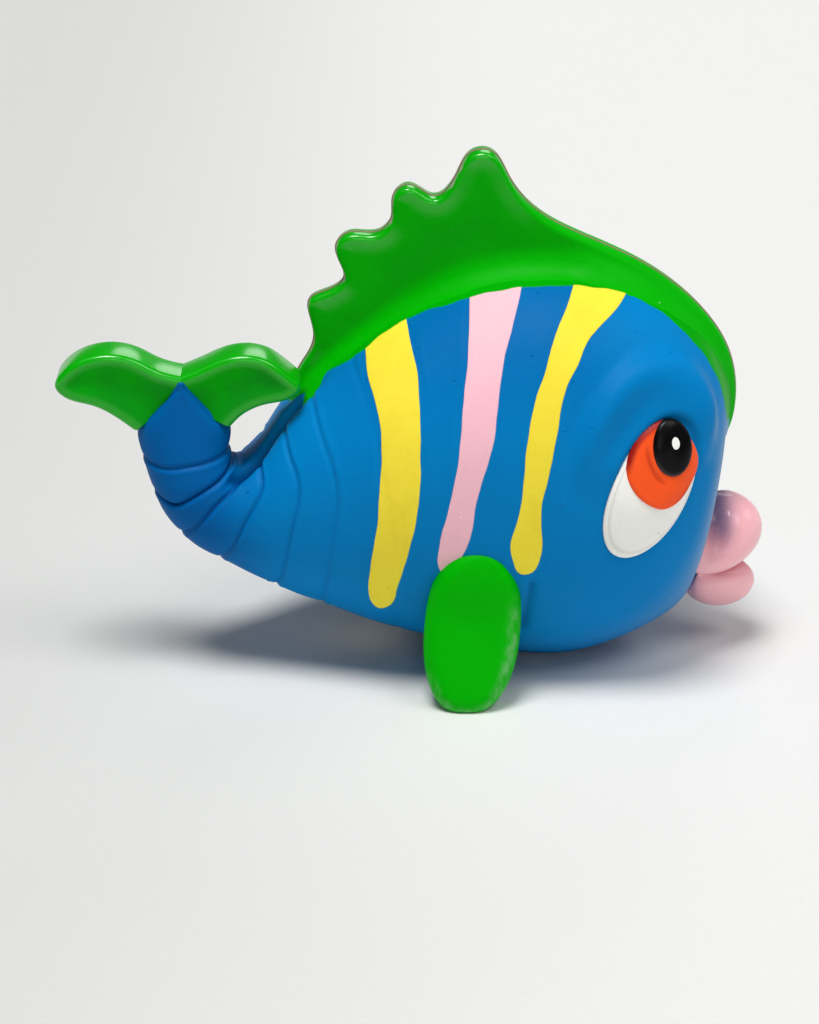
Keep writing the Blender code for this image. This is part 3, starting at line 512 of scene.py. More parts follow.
def tailRelief(place, angle, points):
    onBack = np.cos(angle) > 0.0
    step = 0.3
    ahead = bodyPoint(place + step, angle) - bodyPoint(np.maximum(place - step, 0.0), angle)
    stretch = np.linalg.norm(ahead, axis=-1) / (2.0 * step)
    across = points[..., 1] - splineAt(bodyCurve, place)[..., 5]
    aside = across + tailRings["elbowAside"]
    window = ramp(place, *tailRings["elbowFrom"]) * (1.0 - ramp(place, *tailRings["elbowTo"])) * onBack
    beyond = ramp(aside - 2.0 * tailRings["elbowAside"], *tailRings["smoothFar"])
    ringed = 1.0 - ramp(aside, *tailRings["smoothNear"]) * (1.0 - beyond) * window
    relief = np.zeros(place.shape)
    groovesAndShade = np.zeros(place.shape)
    lines = [ringPlace(curve, angle) for curve in ringCurves]
    for line, depth in zip(lines, tailRings["depths"]):
        away = (place - line) * stretch
        groovesAndShade += depth * ringed * hump(away, tailRings["lineWidth"])
        relief += tailRings["lip"] * ringed * hump(away + tailRings["lipAway"], tailRings["lipWidth"])
    swell = tailRings["bulge"] * ramp(place, *tailRings["bulgeFrom"]) * ringed
    for backShade, lower in zip(lines, lines[1:]):
        share = np.clip((place - lower) / (backShade - lower), 0.0, 1.0)
        relief += swell * np.sin(math.pi * share) ** 0.8
    faint = (place - ringPlace(faintCurve, angle)) * stretch
    groovesAndShade += tailRings["faintDepth"] * hump(faint, tailRings["faintWidth"])
    for line in tailRings["stemCreases"]:
        places, degrees = np.array(line, float).T
        away = lineDistance(points, bodyPoint(places, np.radians(degrees)))
        groovesAndShade += tailRings["stemDepth"] * hump(away, tailRings["stemWidth"]) * (place > tailRings["stemFrom"])
    relief -= groovesAndShade
    under = ramp(place, *tailRings["underFrom"]) * (1.0 - ramp(place, *tailRings["underTo"])) * onBack
    relief -= tailRings["underCrest"] * under * hump(across, tailRings["underWidth"])
    elbow = window * hump(aside, tailRings["elbowWidth"])
    # the second result marks painted shade in the grooves, strongest along the elbow
    return relief - tailRings["elbowDepth"] * elbow, groovesAndShade + tailRings["elbowShade"] * elbow


def skinRelief(place, angle, points, marks):
    relief, groovesAndShade = tailRelief(place, angle, points)
    x, y, z = points[..., 0], points[..., 1], points[..., 2]
    for side in sides.values():
        middle, across, up = eyeAxes(side)
        u = (points - middle) @ across
        v = (points - middle) @ up
        rim = (ovalRadius(u, v, eyeForm["white"]) - 1.0) * eyeForm["rimSize"]
        socket = 1.0 - ramp(rim, -0.4, 0.5)
        overhang = eyeForm["overhang"] * hump(rim - 0.6, eyeForm["overhangWidth"])
        overhang = overhang * ramp(v - 0.5 * u, 0.0, 6.0) * (1.0 - socket)
        near = (y * side > 3.0) & (place < eyeForm["until"])
        relief += np.where(near, browRelief(u, v) + overhang - eyeForm["socket"] * socket, 0.0)
    ridge = ramp(z, *faceForm["ridgeFoot"]) * (1.0 - ramp(z, *faceForm["ridgeTop"])) * (x > faceForm["ridgeFront"])
    relief += faceForm["ridge"] * ridge * hump(y, faceForm["ridgeWidth"])
    chin = np.hypot(x - faceForm["chinX"], z - faceForm["chinZ"])
    relief += faceForm["chin"] * hump(chin, faceForm["chinSize"]) * hump(y, faceForm["chinWidth"])
    crease = hump(lineDistance(np.stack([x, -np.abs(y), z], -1), finCrease["line"]), finCrease["width"])
    relief -= finCrease["depth"] * crease
    groovesAndShade += finCrease["shade"] * crease
    best = np.maximum(marks["yellow"], marks["pink"]).reshape(place.shape)
    below = 1.0 - ramp(marks["green"].reshape(place.shape), -0.4, 0.2)
    relief += stripeForm["thickness"] * ramp(best, -0.3, 0.3)
    relief += stripeForm["mouldLine"] * hump(best + stripeForm["mouldGap"], stripeForm["mouldWidth"]) * below
    return relief, groovesAndShade


squeakerWell = {"x": -11.0, "edge": (8.9, 10.2), "depth": 4.4, "hole": 8.0, "reach": 9.0, "below": 26.0}


def wellAxis():  # middle of the squeaker's hole on the belly, and its direction inwards
    places = np.linspace(60.0, 131.0, 400)
    belly = splineAt(bodyCurve, places)[:, [2, 5, 3]]
    at = int(np.argmin(np.abs(belly[:, 0] - squeakerWell["x"])))
    slope = belly[at + 1] - belly[at - 1]
    inward = np.array([-slope[2], 0.0, slope[0]])
    inward *= np.sign(inward[2]) / np.linalg.norm(inward)
    return belly[at], inward


wellMiddle, wellInward = wellAxis()


def pressWell(points):
    away = points - wellMiddle
    depth = away @ wellInward
    radius = np.linalg.norm(away - depth[..., None] * wellInward, axis=-1)
    near = (np.abs(depth) < squeakerWell["reach"]) & (points[..., 2] < squeakerWell["below"])
    push = np.where(near, squeakerWell["depth"] * (1.0 - ramp(radius, *squeakerWell["edge"])), 0.0)
    return points + push[..., None] * wellInward, np.where(near, radius, farAway)


def skinAt(place, angle):
    points = bodyPoint(place, angle)
    marks = paintMarks(points)
    relief, groovesAndShade = skinRelief(place, angle, points, marks)
    points = points + relief[..., None] * bodyNormal(place, angle)
    points[..., 2] = np.maximum(points[..., 2], 0.0)
    # painted shade in grooves and creases, read by the blue paint
    marks["grooveShade"] = groovesAndShade.ravel()
    return points, marks


# node helpers

def paint(red, green, blue):  # screen colour, 0 to 255, to the light it stands for
    share = np.array([red, green, blue]) / 255.0
    linear = np.where(share <= 0.04045, share / 12.92, ((share + 0.055) / 1.055) ** 2.4)
    return (*[float(c) for c in linear], 1.0)


def addNode(tree, kind, settings=None, inputs=None):
    made = tree.nodes.new(kind)
    for key, value in (settings or {}).items():
        setattr(made, key, value)
    for key, value in (inputs or {}).items():
        if isinstance(value, bpy.types.NodeSocket):
            tree.links.new(value, made.inputs[key])
        else:
            made.inputs[key].default_value = value
    return made


def calc(tree, operation, *values):
    return addNode(tree, "ShaderNodeMath", {"operation": operation}, dict(enumerate(values))).outputs[0]


def times(tree, value, *others):
    for other in others:
        value = calc(tree, "MULTIPLY", value, other)
    return value


def plus(tree, value, *others):
    for other in others:
        value = calc(tree, "ADD", value, other)
    return value


def stepMask(tree, value, low, high):
    return addNode(tree, "ShaderNodeMapRange", {"interpolation_type": "SMOOTHSTEP"},
                   {"Value": value, "From Min": low, "From Max": high}).outputs[0]


def mixPaint(tree, share, first, second, blend="MIX"):
    return addNode(tree, "ShaderNodeMix", {"data_type": "RGBA", "blend_type": blend},
                   {0: share, 6: first, 7: second}).outputs[2]


def mark(tree, name):
    return addNode(tree, "ShaderNodeAttribute", {"attribute_name": name}).outputs["Fac"]


def objectPlace(tree):
    return addNode(tree, "ShaderNodeTexCoord").outputs["Object"]


def noise(tree, place, scale, detail=2.0, roughness=0.5):
    return addNode(tree, "ShaderNodeTexNoise", None, {
        "Vector": place, "Scale": scale, "Detail": detail, "Roughness": roughness}).outputs["Fac"]


def centred(tree, value):  # noise that goes either way from 0
    return calc(tree, "SUBTRACT", value, 0.5)


def newTree(name, kind, inputs, outputs):
    tree = bpy.data.node_groups.new(name, kind)
    for way, sockets in (("INPUT", inputs), ("OUTPUT", outputs)):
        for label, sort in sockets:
            tree.interface.new_socket(label, in_out=way, socket_type="NodeSocket" + sort)
    return tree, tree.nodes.new("NodeGroupInput").outputs, tree.nodes.new("NodeGroupOutput").inputs


latexLook = {  # what all latex shares, and what a paint below has unless it says otherwise
    "cloudScale": 75.0, "grainScale": 1500.0, "waveScale": 210.0, "grainShade": 0.12,
    "speckScale": 300.0, "speckSize": (0.02, 0.05),  # smallest, and how much more
    "speckChance": 0.72, "darkShare": 0.6, "speckHeight": 0.06,
    "dark": paint(30, 32, 30), "darkCover": 0.75, "pale": paint(226, 232, 232), "paleCover": 0.55,
    "cloudRough": 0.25, "grainRough": 0.15,
    "waves": 0.0, "coat": 0.0, "coatRoughness": 0.3, "sheen": 0.0, "sheenTint": paint(255, 255, 255),
}
latexInputs = ("Cloud", "Specks", "Grain", "Waves", "Rough")


def latexGroup():  # sprayed latex: cloudy colour, dust specks, fine grain
    tree, given, put = newTree(
        "latexSurface", "ShaderNodeTree", (("Colour", "Color"), *((label, "Float") for label in latexInputs)),
        (("Colour", "Color"), ("Roughness", "Float"), ("Height", "Float")))
    place = objectPlace(tree)
    cloud = noise(tree, place, latexLook["cloudScale"], 4.0, 0.6)
    fine = noise(tree, place, latexLook["grainScale"], 3.0, 0.6)
    wave = noise(tree, place, latexLook["waveScale"])
    light = plus(tree, 1.0, times(tree, centred(tree, cloud), given["Cloud"]))
    grainy = calc(tree, "MULTIPLY_ADD", centred(tree, fine), latexLook["grainShade"], light)
    shade = addNode(tree, "ShaderNodeCombineColor", None, {0: grainy, 1: grainy, 2: grainy}).outputs[0]
    colour = mixPaint(tree, 1.0, given["Colour"], shade, "MULTIPLY")
    cells = addNode(tree, "ShaderNodeTexVoronoi", None, {"Vector": place, "Scale": latexLook["speckScale"]}).outputs
    chosen = addNode(tree, "ShaderNodeSeparateColor", None, {0: cells["Color"]}).outputs
    smallest, more = latexLook["speckSize"]
    size = calc(tree, "MULTIPLY_ADD", chosen[1], more, smallest)
    dot = times(tree, calc(tree, "LESS_THAN", cells["Distance"], size),
                calc(tree, "GREATER_THAN", chosen[0], latexLook["speckChance"]), given["Specks"])
    dark = times(tree, dot, calc(tree, "LESS_THAN", chosen[2], latexLook["darkShare"]))
    pale = calc(tree, "SUBTRACT", dot, dark)
    colour = mixPaint(tree, times(tree, dark, latexLook["darkCover"]), colour, latexLook["dark"])
    colour = mixPaint(tree, times(tree, pale, latexLook["paleCover"]), colour, latexLook["pale"])
    rough = plus(tree, given["Rough"], times(tree, centred(tree, cloud), latexLook["cloudRough"]))
    rough = calc(tree, "MULTIPLY_ADD", centred(tree, fine), latexLook["grainRough"], rough)
    height = plus(tree, times(tree, fine, given["Grain"]), times(tree, wave, given["Waves"]),
                  times(tree, dot, latexLook["speckHeight"]))
    tree.links.new(colour, put["Colour"])
    tree.links.new(rough, put["Roughness"])
    tree.links.new(height, put["Height"])
    return tree


latexSurface = latexGroup()


def newMaterial(name):
    made = bpy.data.materials.new(name)
    made.use_nodes = True
    return made, made.node_tree, made.node_tree.nodes["Principled BSDF"].inputs


def finishLatex(tree, shader, colour, values, height=None, dull=None):
    # puts a colour through the latex group into the shader
    values = {**latexLook, **values}
    inputs = {label: values[label.lower()] for label in latexInputs}
    group = addNode(tree, "ShaderNodeGroup", {"node_tree": latexSurface}, {"Colour": colour, **inputs}).outputs
    tree.links.new(group["Colour"], shader["Base Color"])
    rough, total = group["Roughness"], group["Height"]
    tree.links.new(rough if dull is None else plus(tree, rough, dull), shader["Roughness"])
    if height is not None:
        total = plus(tree, total, height)
    bump = addNode(tree, "ShaderNodeBump", None, {"Strength": 1.0, "Distance": mm, "Height": total})
    tree.links.new(bump.outputs[0], shader["Normal"])
    for label, value in (
            ("IOR", 1.45), ("Specular IOR Level", values["shine"]), ("Coat Weight", values["coat"]),
            ("Coat Roughness", values["coatRoughness"]), ("Sheen Weight", values["sheen"]),
            ("Sheen Roughness", 0.5), ("Sheen Tint", values["sheenTint"])):
        shader[label].default_value = value


bluePaint = {
    "colour": paint(0, 127, 196), "yellow": paint(255, 233, 68), "yellowThin": paint(250, 226, 62),
    "pink": paint(254, 196, 209), "green": paint(0, 164, 2),
    # painted shade: darker blue in the grooves and creases
    "grooveShade": paint(0, 66, 130), "grooveShadeRange": (0.1, 0.9), "grooveShadeShare": 0.7,
    # painted shade: darker blue on the tail and upper back, over these lengths in metres
    "dark": paint(0, 94, 164), "tailShadeX": (-0.024, -0.042),
    "backShadeX": (0.042, 0.026), "backShadeZ": (0.05, 0.072), "backShadeShare": 0.6,
    # dust and painted sheen, paler where the face turns away
    "dustAndSheen": paint(150, 178, 204), "dustAndSheenShare": 0.72, "dustAndSheenFacing": (0.45, 1.0), "dustAndSheenX": (0.0, 0.04),
    "dustAndSheenLow": (0.002, 0.03), "dustAndSheenHigh": (0.06, 0.044),
    "cloud": 0.16, "specks": 0.5, "grain": 0.012, "waves": 0.05, "rough": 0.5, "greenRough": -0.12, "shine": 0.06,
    "edgeBlur": 0.06, "edgeNoise": 0.1, "paintThickness": 0.09,
}


def blueSkinMaterial():
    made, tree, shader = newMaterial("blueSkin")
    place = objectPlace(tree)
    x, _, z = addNode(tree, "ShaderNodeSeparateXYZ", None, {0: place}).outputs

    def between(value, key):
        return stepMask(tree, value, *bluePaint[key])

    jitter = times(tree, centred(tree, noise(tree, place, 900.0, 3.0)), bluePaint["edgeNoise"])
    blur = bluePaint["edgeBlur"]
    masks = {key: stepMask(tree, plus(tree, mark(tree, key), jitter), -blur, blur) for key in paintNames}
    # painted shade: darker towards the tail and on the upper back
    colour = mixPaint(tree, between(x, "tailShadeX"), bluePaint["colour"], bluePaint["dark"])
    backShade = times(tree, between(z, "backShadeZ"), between(x, "backShadeX"), bluePaint["backShadeShare"])
    colour = mixPaint(tree, backShade, colour, bluePaint["dark"])
    # painted shade in grooves and creases
    grooveShadeMask = times(tree, between(mark(tree, "grooveShade"), "grooveShadeRange"), bluePaint["grooveShadeShare"])
    colour = mixPaint(tree, grooveShadeMask, colour, bluePaint["grooveShade"])
    # dust and painted sheen: paler where the surface turns away from view
    facing = addNode(tree, "ShaderNodeLayerWeight", None, {"Blend": 0.5}).outputs["Facing"]
    dustAndSheenMask = times(tree, between(facing, "dustAndSheenFacing"), bluePaint["dustAndSheenShare"], between(x, "dustAndSheenX"),
                  between(z, "dustAndSheenLow"), between(z, "dustAndSheenHigh"))
    colour = mixPaint(tree, dustAndSheenMask, colour, bluePaint["dustAndSheen"])
    patchy = stepMask(tree, noise(tree, place, 120.0, 3.0), 0.35, 0.75)
    yellow = mixPaint(tree, patchy, bluePaint["yellow"], bluePaint["yellowThin"])
    for key, over in zip(paintNames, (yellow, bluePaint["pink"], bluePaint["green"])):
        colour = mixPaint(tree, masks[key], colour, over)
    layers = calc(tree, "MAXIMUM", calc(tree, "MAXIMUM", masks["yellow"], masks["pink"]), masks["green"])
    height = times(tree, layers, bluePaint["paintThickness"])
    finishLatex(tree, shader, colour, bluePaint, height, times(tree, masks["green"], bluePaint["greenRough"]))
    return made


greenPaint = {
    # painted shade: darker green in patches over sunken middles
    "colour": paint(0, 176, 0), "sunk": paint(10, 148, 26),
    "bare": paint(168, 150, 138), "worn": paint(150, 196, 150),
    "cloud": 0.14, "specks": 0.55, "grain": 0.006, "waves": 0.12, "rough": 0.45, "sunkRough": 0.12, "shine": 0.06,
    "coatRoughness": 0.2, "wet": 0.9,
}


def greenMaterial():
    made, tree, shader = newMaterial("greenLatex")
    place = objectPlace(tree)
    # painted shade in patches over the sunken middle of a face
    sunk = times(tree, mark(tree, "sunk"), stepMask(tree, noise(tree, place, 90.0, 3.0), 0.2, 0.7))
    colour = mixPaint(tree, sunk, greenPaint["colour"], greenPaint["sunk"])
    ragged = plus(tree, mark(tree, "bare"), centred(tree, noise(tree, place, 420.0, 3.0)))
    colour = mixPaint(tree, stepMask(tree, ragged, 0.5, 0.75), colour, greenPaint["bare"])
    streaks = addNode(tree, "ShaderNodeMapping", None, {"Vector": place, "Scale": (1.0, 1.0, 0.5)}).outputs[0]
    streaks = noise(tree, streaks, 700.0, 4.0, 0.65)
    worn = times(tree, mark(tree, "worn"), stepMask(tree, streaks, 0.3, 0.7))
    colour = mixPaint(tree, worn, colour, greenPaint["worn"])
    finishLatex(tree, shader, colour, greenPaint, None, times(tree, sunk, greenPaint["sunkRough"]))
    tree.links.new(times(tree, mark(tree, "wet"), greenPaint["wet"]), shader["Coat Weight"])
    return made


pinkPaint = {
    # blue spray with painted shade in the upper lip's dent, and painted shade where the lips meet
    "colour": paint(255, 188, 195), "sprayAndShade": paint(112, 98, 132), "foldShade": paint(214, 124, 142),
    "cloud": 0.12, "specks": 0.35, "grain": 0.004, "waves": 0.035, "rough": 0.36, "sprayRough": 0.4, "shine": 0.4,
    "coat": 0.3, "coatRoughness": 0.13,
}


def pinkMaterial():
    made, tree, shader = newMaterial("pinkLips")
    specks = noise(tree, objectPlace(tree), 700.0, 4.0, 0.65)
    # blue-grey spray and painted shade in the upper lip's dent
    sprayAndShadeMask = times(tree, mark(tree, "sprayAndShade"), stepMask(tree, specks, -0.5, 0.6))
    # painted shade: darker pink where the lips meet and in the dent
    colour = mixPaint(tree, mark(tree, "foldShade"), pinkPaint["colour"], pinkPaint["foldShade"])
    colour = mixPaint(tree, sprayAndShadeMask, colour, pinkPaint["sprayAndShade"])
    finishLatex(tree, shader, colour, pinkPaint, None, times(tree, mark(tree, "sprayAndShade"), pinkPaint["sprayRough"]))
    return made


# edge on the white: painted shade in the groove inside its rim, and a darker outline at the rim
whitePaint = {
    "colour": paint(250, 250, 244), "edge": paint(204, 200, 194), "cloud": 0.05, "specks": 0.35, "grain": 0.006,
    "waves": 0.1, "rough": 0.36, "shine": 0.5, "coat": 0.15, "coatRoughness": 0.2,
}
# edge on the iris: painted shade under the lid, in the fold below the pupil and at its lower front
orangePaint = {
    "colour": paint(255, 87, 26), "edge": paint(158, 18, 6), "cloud": 0.12, "specks": 0.3, "grain": 0.006,
    "waves": 0.06, "rough": 0.45, "shine": 0.25,
}
blackPaint = {
    "colour": paint(8, 7, 9), "edge": paint(64, 62, 66), "cloud": 0.2, "specks": 0.2, "grain": 0.002,
    "waves": 0.04, "rough": 0.3, "shine": 0.12, "coat": 0.05, "coatRoughness": 0.1,
}
plasticLook = {
    "colour": paint(226, 226, 220), "cloud": 0.06, "specks": 0.1, "grain": 0.004, "rough": 0.38, "shine": 0.5,
}
reedLook = {
    "colour": paint(206, 206, 196), "cloud": 0.1, "specks": 0.1, "grain": 0.003, "rough": 0.3, "shine": 0.5,
}
bareLook = {
    "colour": paint(150, 124, 108), "cloud": 0.3, "specks": 0.2, "grain": 0.01, "rough": 0.5, "shine": 0.4,
    "sheen": 0.1, "sheenTint": paint(240, 230, 220),
}


def plainMaterial(name, values):  # one colour, or two where the mesh marks an edge; on the eye that mark also holds painted shade
    made, tree, shader = newMaterial(name)
    colour = values["colour"]
    if "edge" in values:
        colour = mixPaint(tree, mark(tree, "edge"), colour, values["edge"])
    finishLatex(tree, shader, colour, values)
    return made


materials = {
    "blue": blueSkinMaterial(), "green": greenMaterial(), "pink": pinkMaterial(),
    "white": plainMaterial("eyeWhite", whitePaint), "orange": plainMaterial("eyeOrange", orangePaint),
    "black": plainMaterial("eyeBlack", blackPaint), "plastic": plainMaterial("squeakerPlastic", plasticLook),
    "reed": plainMaterial("reedFilm", reedLook), "bare": plainMaterial("bareLatex", bareLook),
}
print("materials made")


# things that repeat on a surface or follow a line

def shapeTree(name, inputs):
    return newTree(name, "GeometryNodeTree", (("Geometry", "Geometry"), *inputs), (("Geometry", "Geometry"),))


def shapeNode(tree, kind, inputs):
    return addNode(tree, "GeometryNode" + kind, None, inputs).outputs[0]


def runTree(name, mesh, tree, values):
    made = addObject(name, mesh)
    step = made.modifiers.new(tree.name, "NODES")
    step.node_group = tree
    for socket in tree.interface.items_tree:
        if socket.in_out == "INPUT" and socket.name in values:
            step[socket.identifier] = values[socket.name]
    return applied(made)


def endTree(tree, shape, material, put):
    solid = shapeNode(tree, "RealizeInstances", {0: shape})
    smooth = shapeNode(tree, "SetShadeSmooth", {0: solid})
    tree.links.new(shapeNode(tree, "SetMaterial", {"Geometry": smooth, "Material": material}), put[0])
    return tree


def nibTree():  # small bumps of latex scattered over a surface, and one at a given spot
    tree, given, put = shapeTree("latexNibs", (
        ("Density", "Float"), ("Small", "Float"), ("Large", "Float"), ("Lowest", "Float"), ("Spot", "Vector"),
        ("Seed", "Int"), ("Paint", "Material")))
    seed, large = given["Seed"], given["Large"]
    level = addNode(tree, "ShaderNodeSeparateXYZ", None, {0: shapeNode(tree, "InputPosition", {})}).outputs[2]
    high = calc(tree, "GREATER_THAN", level, given["Lowest"])
    spread = addNode(tree, "GeometryNodeDistributePointsOnFaces", None, {
        "Mesh": given["Geometry"], "Selection": high, "Density": given["Density"], "Seed": seed}).outputs
    single = shapeNode(tree, "Points", {"Count": 1, "Position": given["Spot"], "Radius": mm})
    for key in paintNames:
        single = shapeNode(tree, "StoreNamedAttribute", {"Geometry": single, "Name": key, "Value": unpainted})
    size = addNode(tree, "FunctionNodeRandomValue", None, {2: given["Small"], 3: large, "Seed": seed}).outputs[1]
    ball = shapeNode(tree, "MeshIcoSphere", {"Radius": 1.0, "Subdivisions": 2})
    flat = shapeNode(tree, "Transform", {"Geometry": ball, "Scale": (1.0, 1.0, 0.6)})
    many = shapeNode(tree, "InstanceOnPoints", {
        "Points": spread["Points"], "Instance": flat, "Rotation": spread["Rotation"], "Scale": size})
    one = shapeNode(tree, "InstanceOnPoints", {"Points": single, "Instance": ball, "Scale": large})
    both = tree.nodes.new("GeometryNodeJoinGeometry")
    for part in (many, one):
        tree.links.new(part, both.inputs[0])
    return endTree(tree, both.outputs[0], given["Paint"], put)


def seamTree():  # thin bead along a line
    tree, given, put = shapeTree("mouldSeam", (("Radius", "Float"), ("Paint", "Material")))
    path = shapeNode(tree, "MeshToCurve", {0: given["Geometry"]})
    ring = shapeNode(tree, "CurvePrimitiveCircle", {"Resolution": 8, "Radius": given["Radius"]})
    bead = shapeNode(tree, "CurveToMesh", {"Curve": path, "Profile Curve": ring, "Fill Caps": True})
    return endTree(tree, bead, given["Paint"], put)


latexNibs = nibTree()
mouldSeam = seamTree()


# skin of the trunk, one half for each flank, and the tail behind it

nibForm = {
    "Density": 6000.0, "Small": 0.1 * mm, "Large": 0.3 * mm, "Lowest": 8.0 * mm, "Seed": 5,
    "spot": (127.2, 56.0),  # place, and angle in degrees
}


def followFlank(piece):
    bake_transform(piece)


def trunkPlaces():
    *nose, start = fishBody["nosePlaces"]
    trunk = np.arange(start, fishBody["tailFrom"], fishBody["spacing"])
    count = int((fishBody["seam"] - trunk[-1]) / fishBody["tailSpacing"])
    return np.concatenate([nose, trunk, np.linspace(trunk[-1], fishBody["seam"], count + 1)[1:]])


halfTurn = np.linspace(0.0, math.pi, fishBody["columns"] + 1)
seamCurve = ringCurves[1]


def halfSkin(name, side):
    angles = halfTurn * -side
    places = trunkPlaces()
    seam = ringPlace(seamCurve, angles)
    slant = ramp(places, fishBody["slantFrom"], fishBody["seam"])
    place = places[:, None] + (seam - fishBody["seam"])[None] * slant[:, None]
    angle = np.broadcast_to(angles, place.shape)
    points, marks = skinAt(place, angle)
    points, radius = pressWell(points)
    rows, columns = place.shape
    noseX, noseZ = fishBody["nose"]
    points = np.concatenate([points.reshape(-1, 3), [[noseX, 0.0, noseZ]]])
    marks = {key: np.append(values, unpainted if key in paintNames else 0.0) for key, values in marks.items()}
    radius = np.append(radius.ravel(), farAway)
    faces = [f for f in gridFaces(rows, columns, False) if max(radius[v] for v in f) > squeakerWell["hole"]]
    faces += [(len(points) - 1, c + 1, c) for c in range(columns - 1)]
    if side < 0.0:
        faces = [f[::-1] for f in faces]
    piece = makePiece("skin" + name, points, faces, materials["blue"], marks, closed=False)
    loose = bmesh.new()
    loose.from_mesh(piece.data)
    bmesh.ops.delete(loose, geom=[v for v in loose.verts if not v.link_faces], context="VERTS")
    loose.to_mesh(piece.data)
    loose.free()
    spotPlace, spotDegrees = nibForm["spot"]
    where, _ = skinAt(np.array([spotPlace]), np.radians([-side * spotDegrees]))
    nibs = runTree("nibs" + name, piece.data.copy(), latexNibs, {
        **nibForm, "Spot": tuple(where[0] * mm), "Paint": materials["blue"]})
    followFlank(nibs)
    wall = piece.modifiers.new("wall", "SOLIDIFY")
    wall.thickness = fishBody["wall"] * mm
    wall.offset = -1.0
    applied(piece)
    followFlank(piece)
    return piece


skins = {name: halfSkin(name, side) for name, side in sides.items()}
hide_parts("body_skin", "right_flank")
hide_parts("left_flank")
print("trunk skin made")

tailForm = {"rows": 90, "bendFrom": (-42.85, -8.4, 39.0), "bendTo": (-45.28, -8.4, 44.48)}


def tailSkin():
    angles = np.concatenate([halfTurn, -halfTurn[-2:0:-1]])
    share = np.linspace(0.0, 1.0, tailForm["rows"])[:, None]
    place = ringPlace(seamCurve, angles)[None] * (1.0 - share) + tailTip * share
    angle = np.broadcast_to(angles, place.shape)
    points, marks = skinAt(place, angle)
    marks.update({key: np.full(place.size, unpainted) for key in paintNames})
    rows, columns = place.shape
    piece = makePiece("tailStem", points.reshape(-1, 3), tubeFaces(rows, columns), materials["blue"], marks)
    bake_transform(piece)
    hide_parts("tail_ring", "tail_stem")


tailSkin()
print("tail made")


def greenMarks(count, **given):  # the four marks that the green paint reads, the same on both faces
    return {key: np.tile(given[key], 2) if key in given else np.zeros(2 * count)
            for key in ("sunk", "bare", "worn", "wet")}


# fluke: two thick lobes either side of the tail's pointed end

flukeForm = {
    "Front": ((-35.4, 50.0), (-33.6, 51.9), (-28.3, 54.5), (-23.8, 55.7), (-22.0, 57.5), (-24.1, 60.4), (-28.5, 63.6),
              (-32.3, 64.4), (-36.9, 63.6), (-41.1, 61.7), (-44.8, 60.1)),
    "Rear": ((-44.5, 60.1), (-48.9, 61.3), (-53.1, 63.5), (-57.9, 64.6), (-62.9, 63.8), (-67.4, 60.8), (-68.7, 58.0),
             (-66.7, 55.7), (-61.9, 54.2), (-56.9, 51.5), (-53.8, 49.1)),
    "core": {"Front": ((-45.1, 57.0), (-38.6, 51.5)), "Rear": ((-50.6, 51.5), (-44.2, 57.0))},
    "half": 4.5, "edge": 1.2, "hollow": 0.9, "hollowFrom": (0.8, 6.0), "y": -8.5,
    "sunkFrom": (0.9, 2.4), "wetTo": (1.2, 2.6),
    "rings": (0.08, 0.25, 0.5, 0.8, 1.2, 1.7, 2.4), "spacing": 0.8,
}


def flukeLobe(name):
    edge = smoothLine(flukeForm[name], 150)
    core = smoothLine([edge[-1], *flukeForm["core"][name], edge[0]], 40)[1:-1]
    _, flat, faces = plateMesh(np.concatenate([edge, core]), flukeForm["rings"], flukeForm["spacing"])
    distance, _ = edgeDistance(flat, np.concatenate([edge, edge[::-1]]))
    depth = rounded(flukeForm["half"], flukeForm["edge"], distance)
    depth = depth - flukeForm["hollow"] * ramp(distance, *flukeForm["hollowFrom"])
    points = bothFaces(flat, flukeForm["y"] + depth, flukeForm["y"] - depth)
    # painted shade over the lobe's sunken middle
    marks = greenMarks(len(flat), sunk=ramp(distance, *flukeForm["sunkFrom"]),
                       wet=1.0 - ramp(distance, *flukeForm["wetTo"]))
    piece = makePiece("fluke" + name, points, faces, materials["green"], marks)
    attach(piece, "tail")
    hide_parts(f"fluke_{name.lower()}_lobe")


for lobeName in ("Front", "Rear"):
    flukeLobe(lobeName)
print("fluke made")

# crest along the back, with a fillet down to the skin

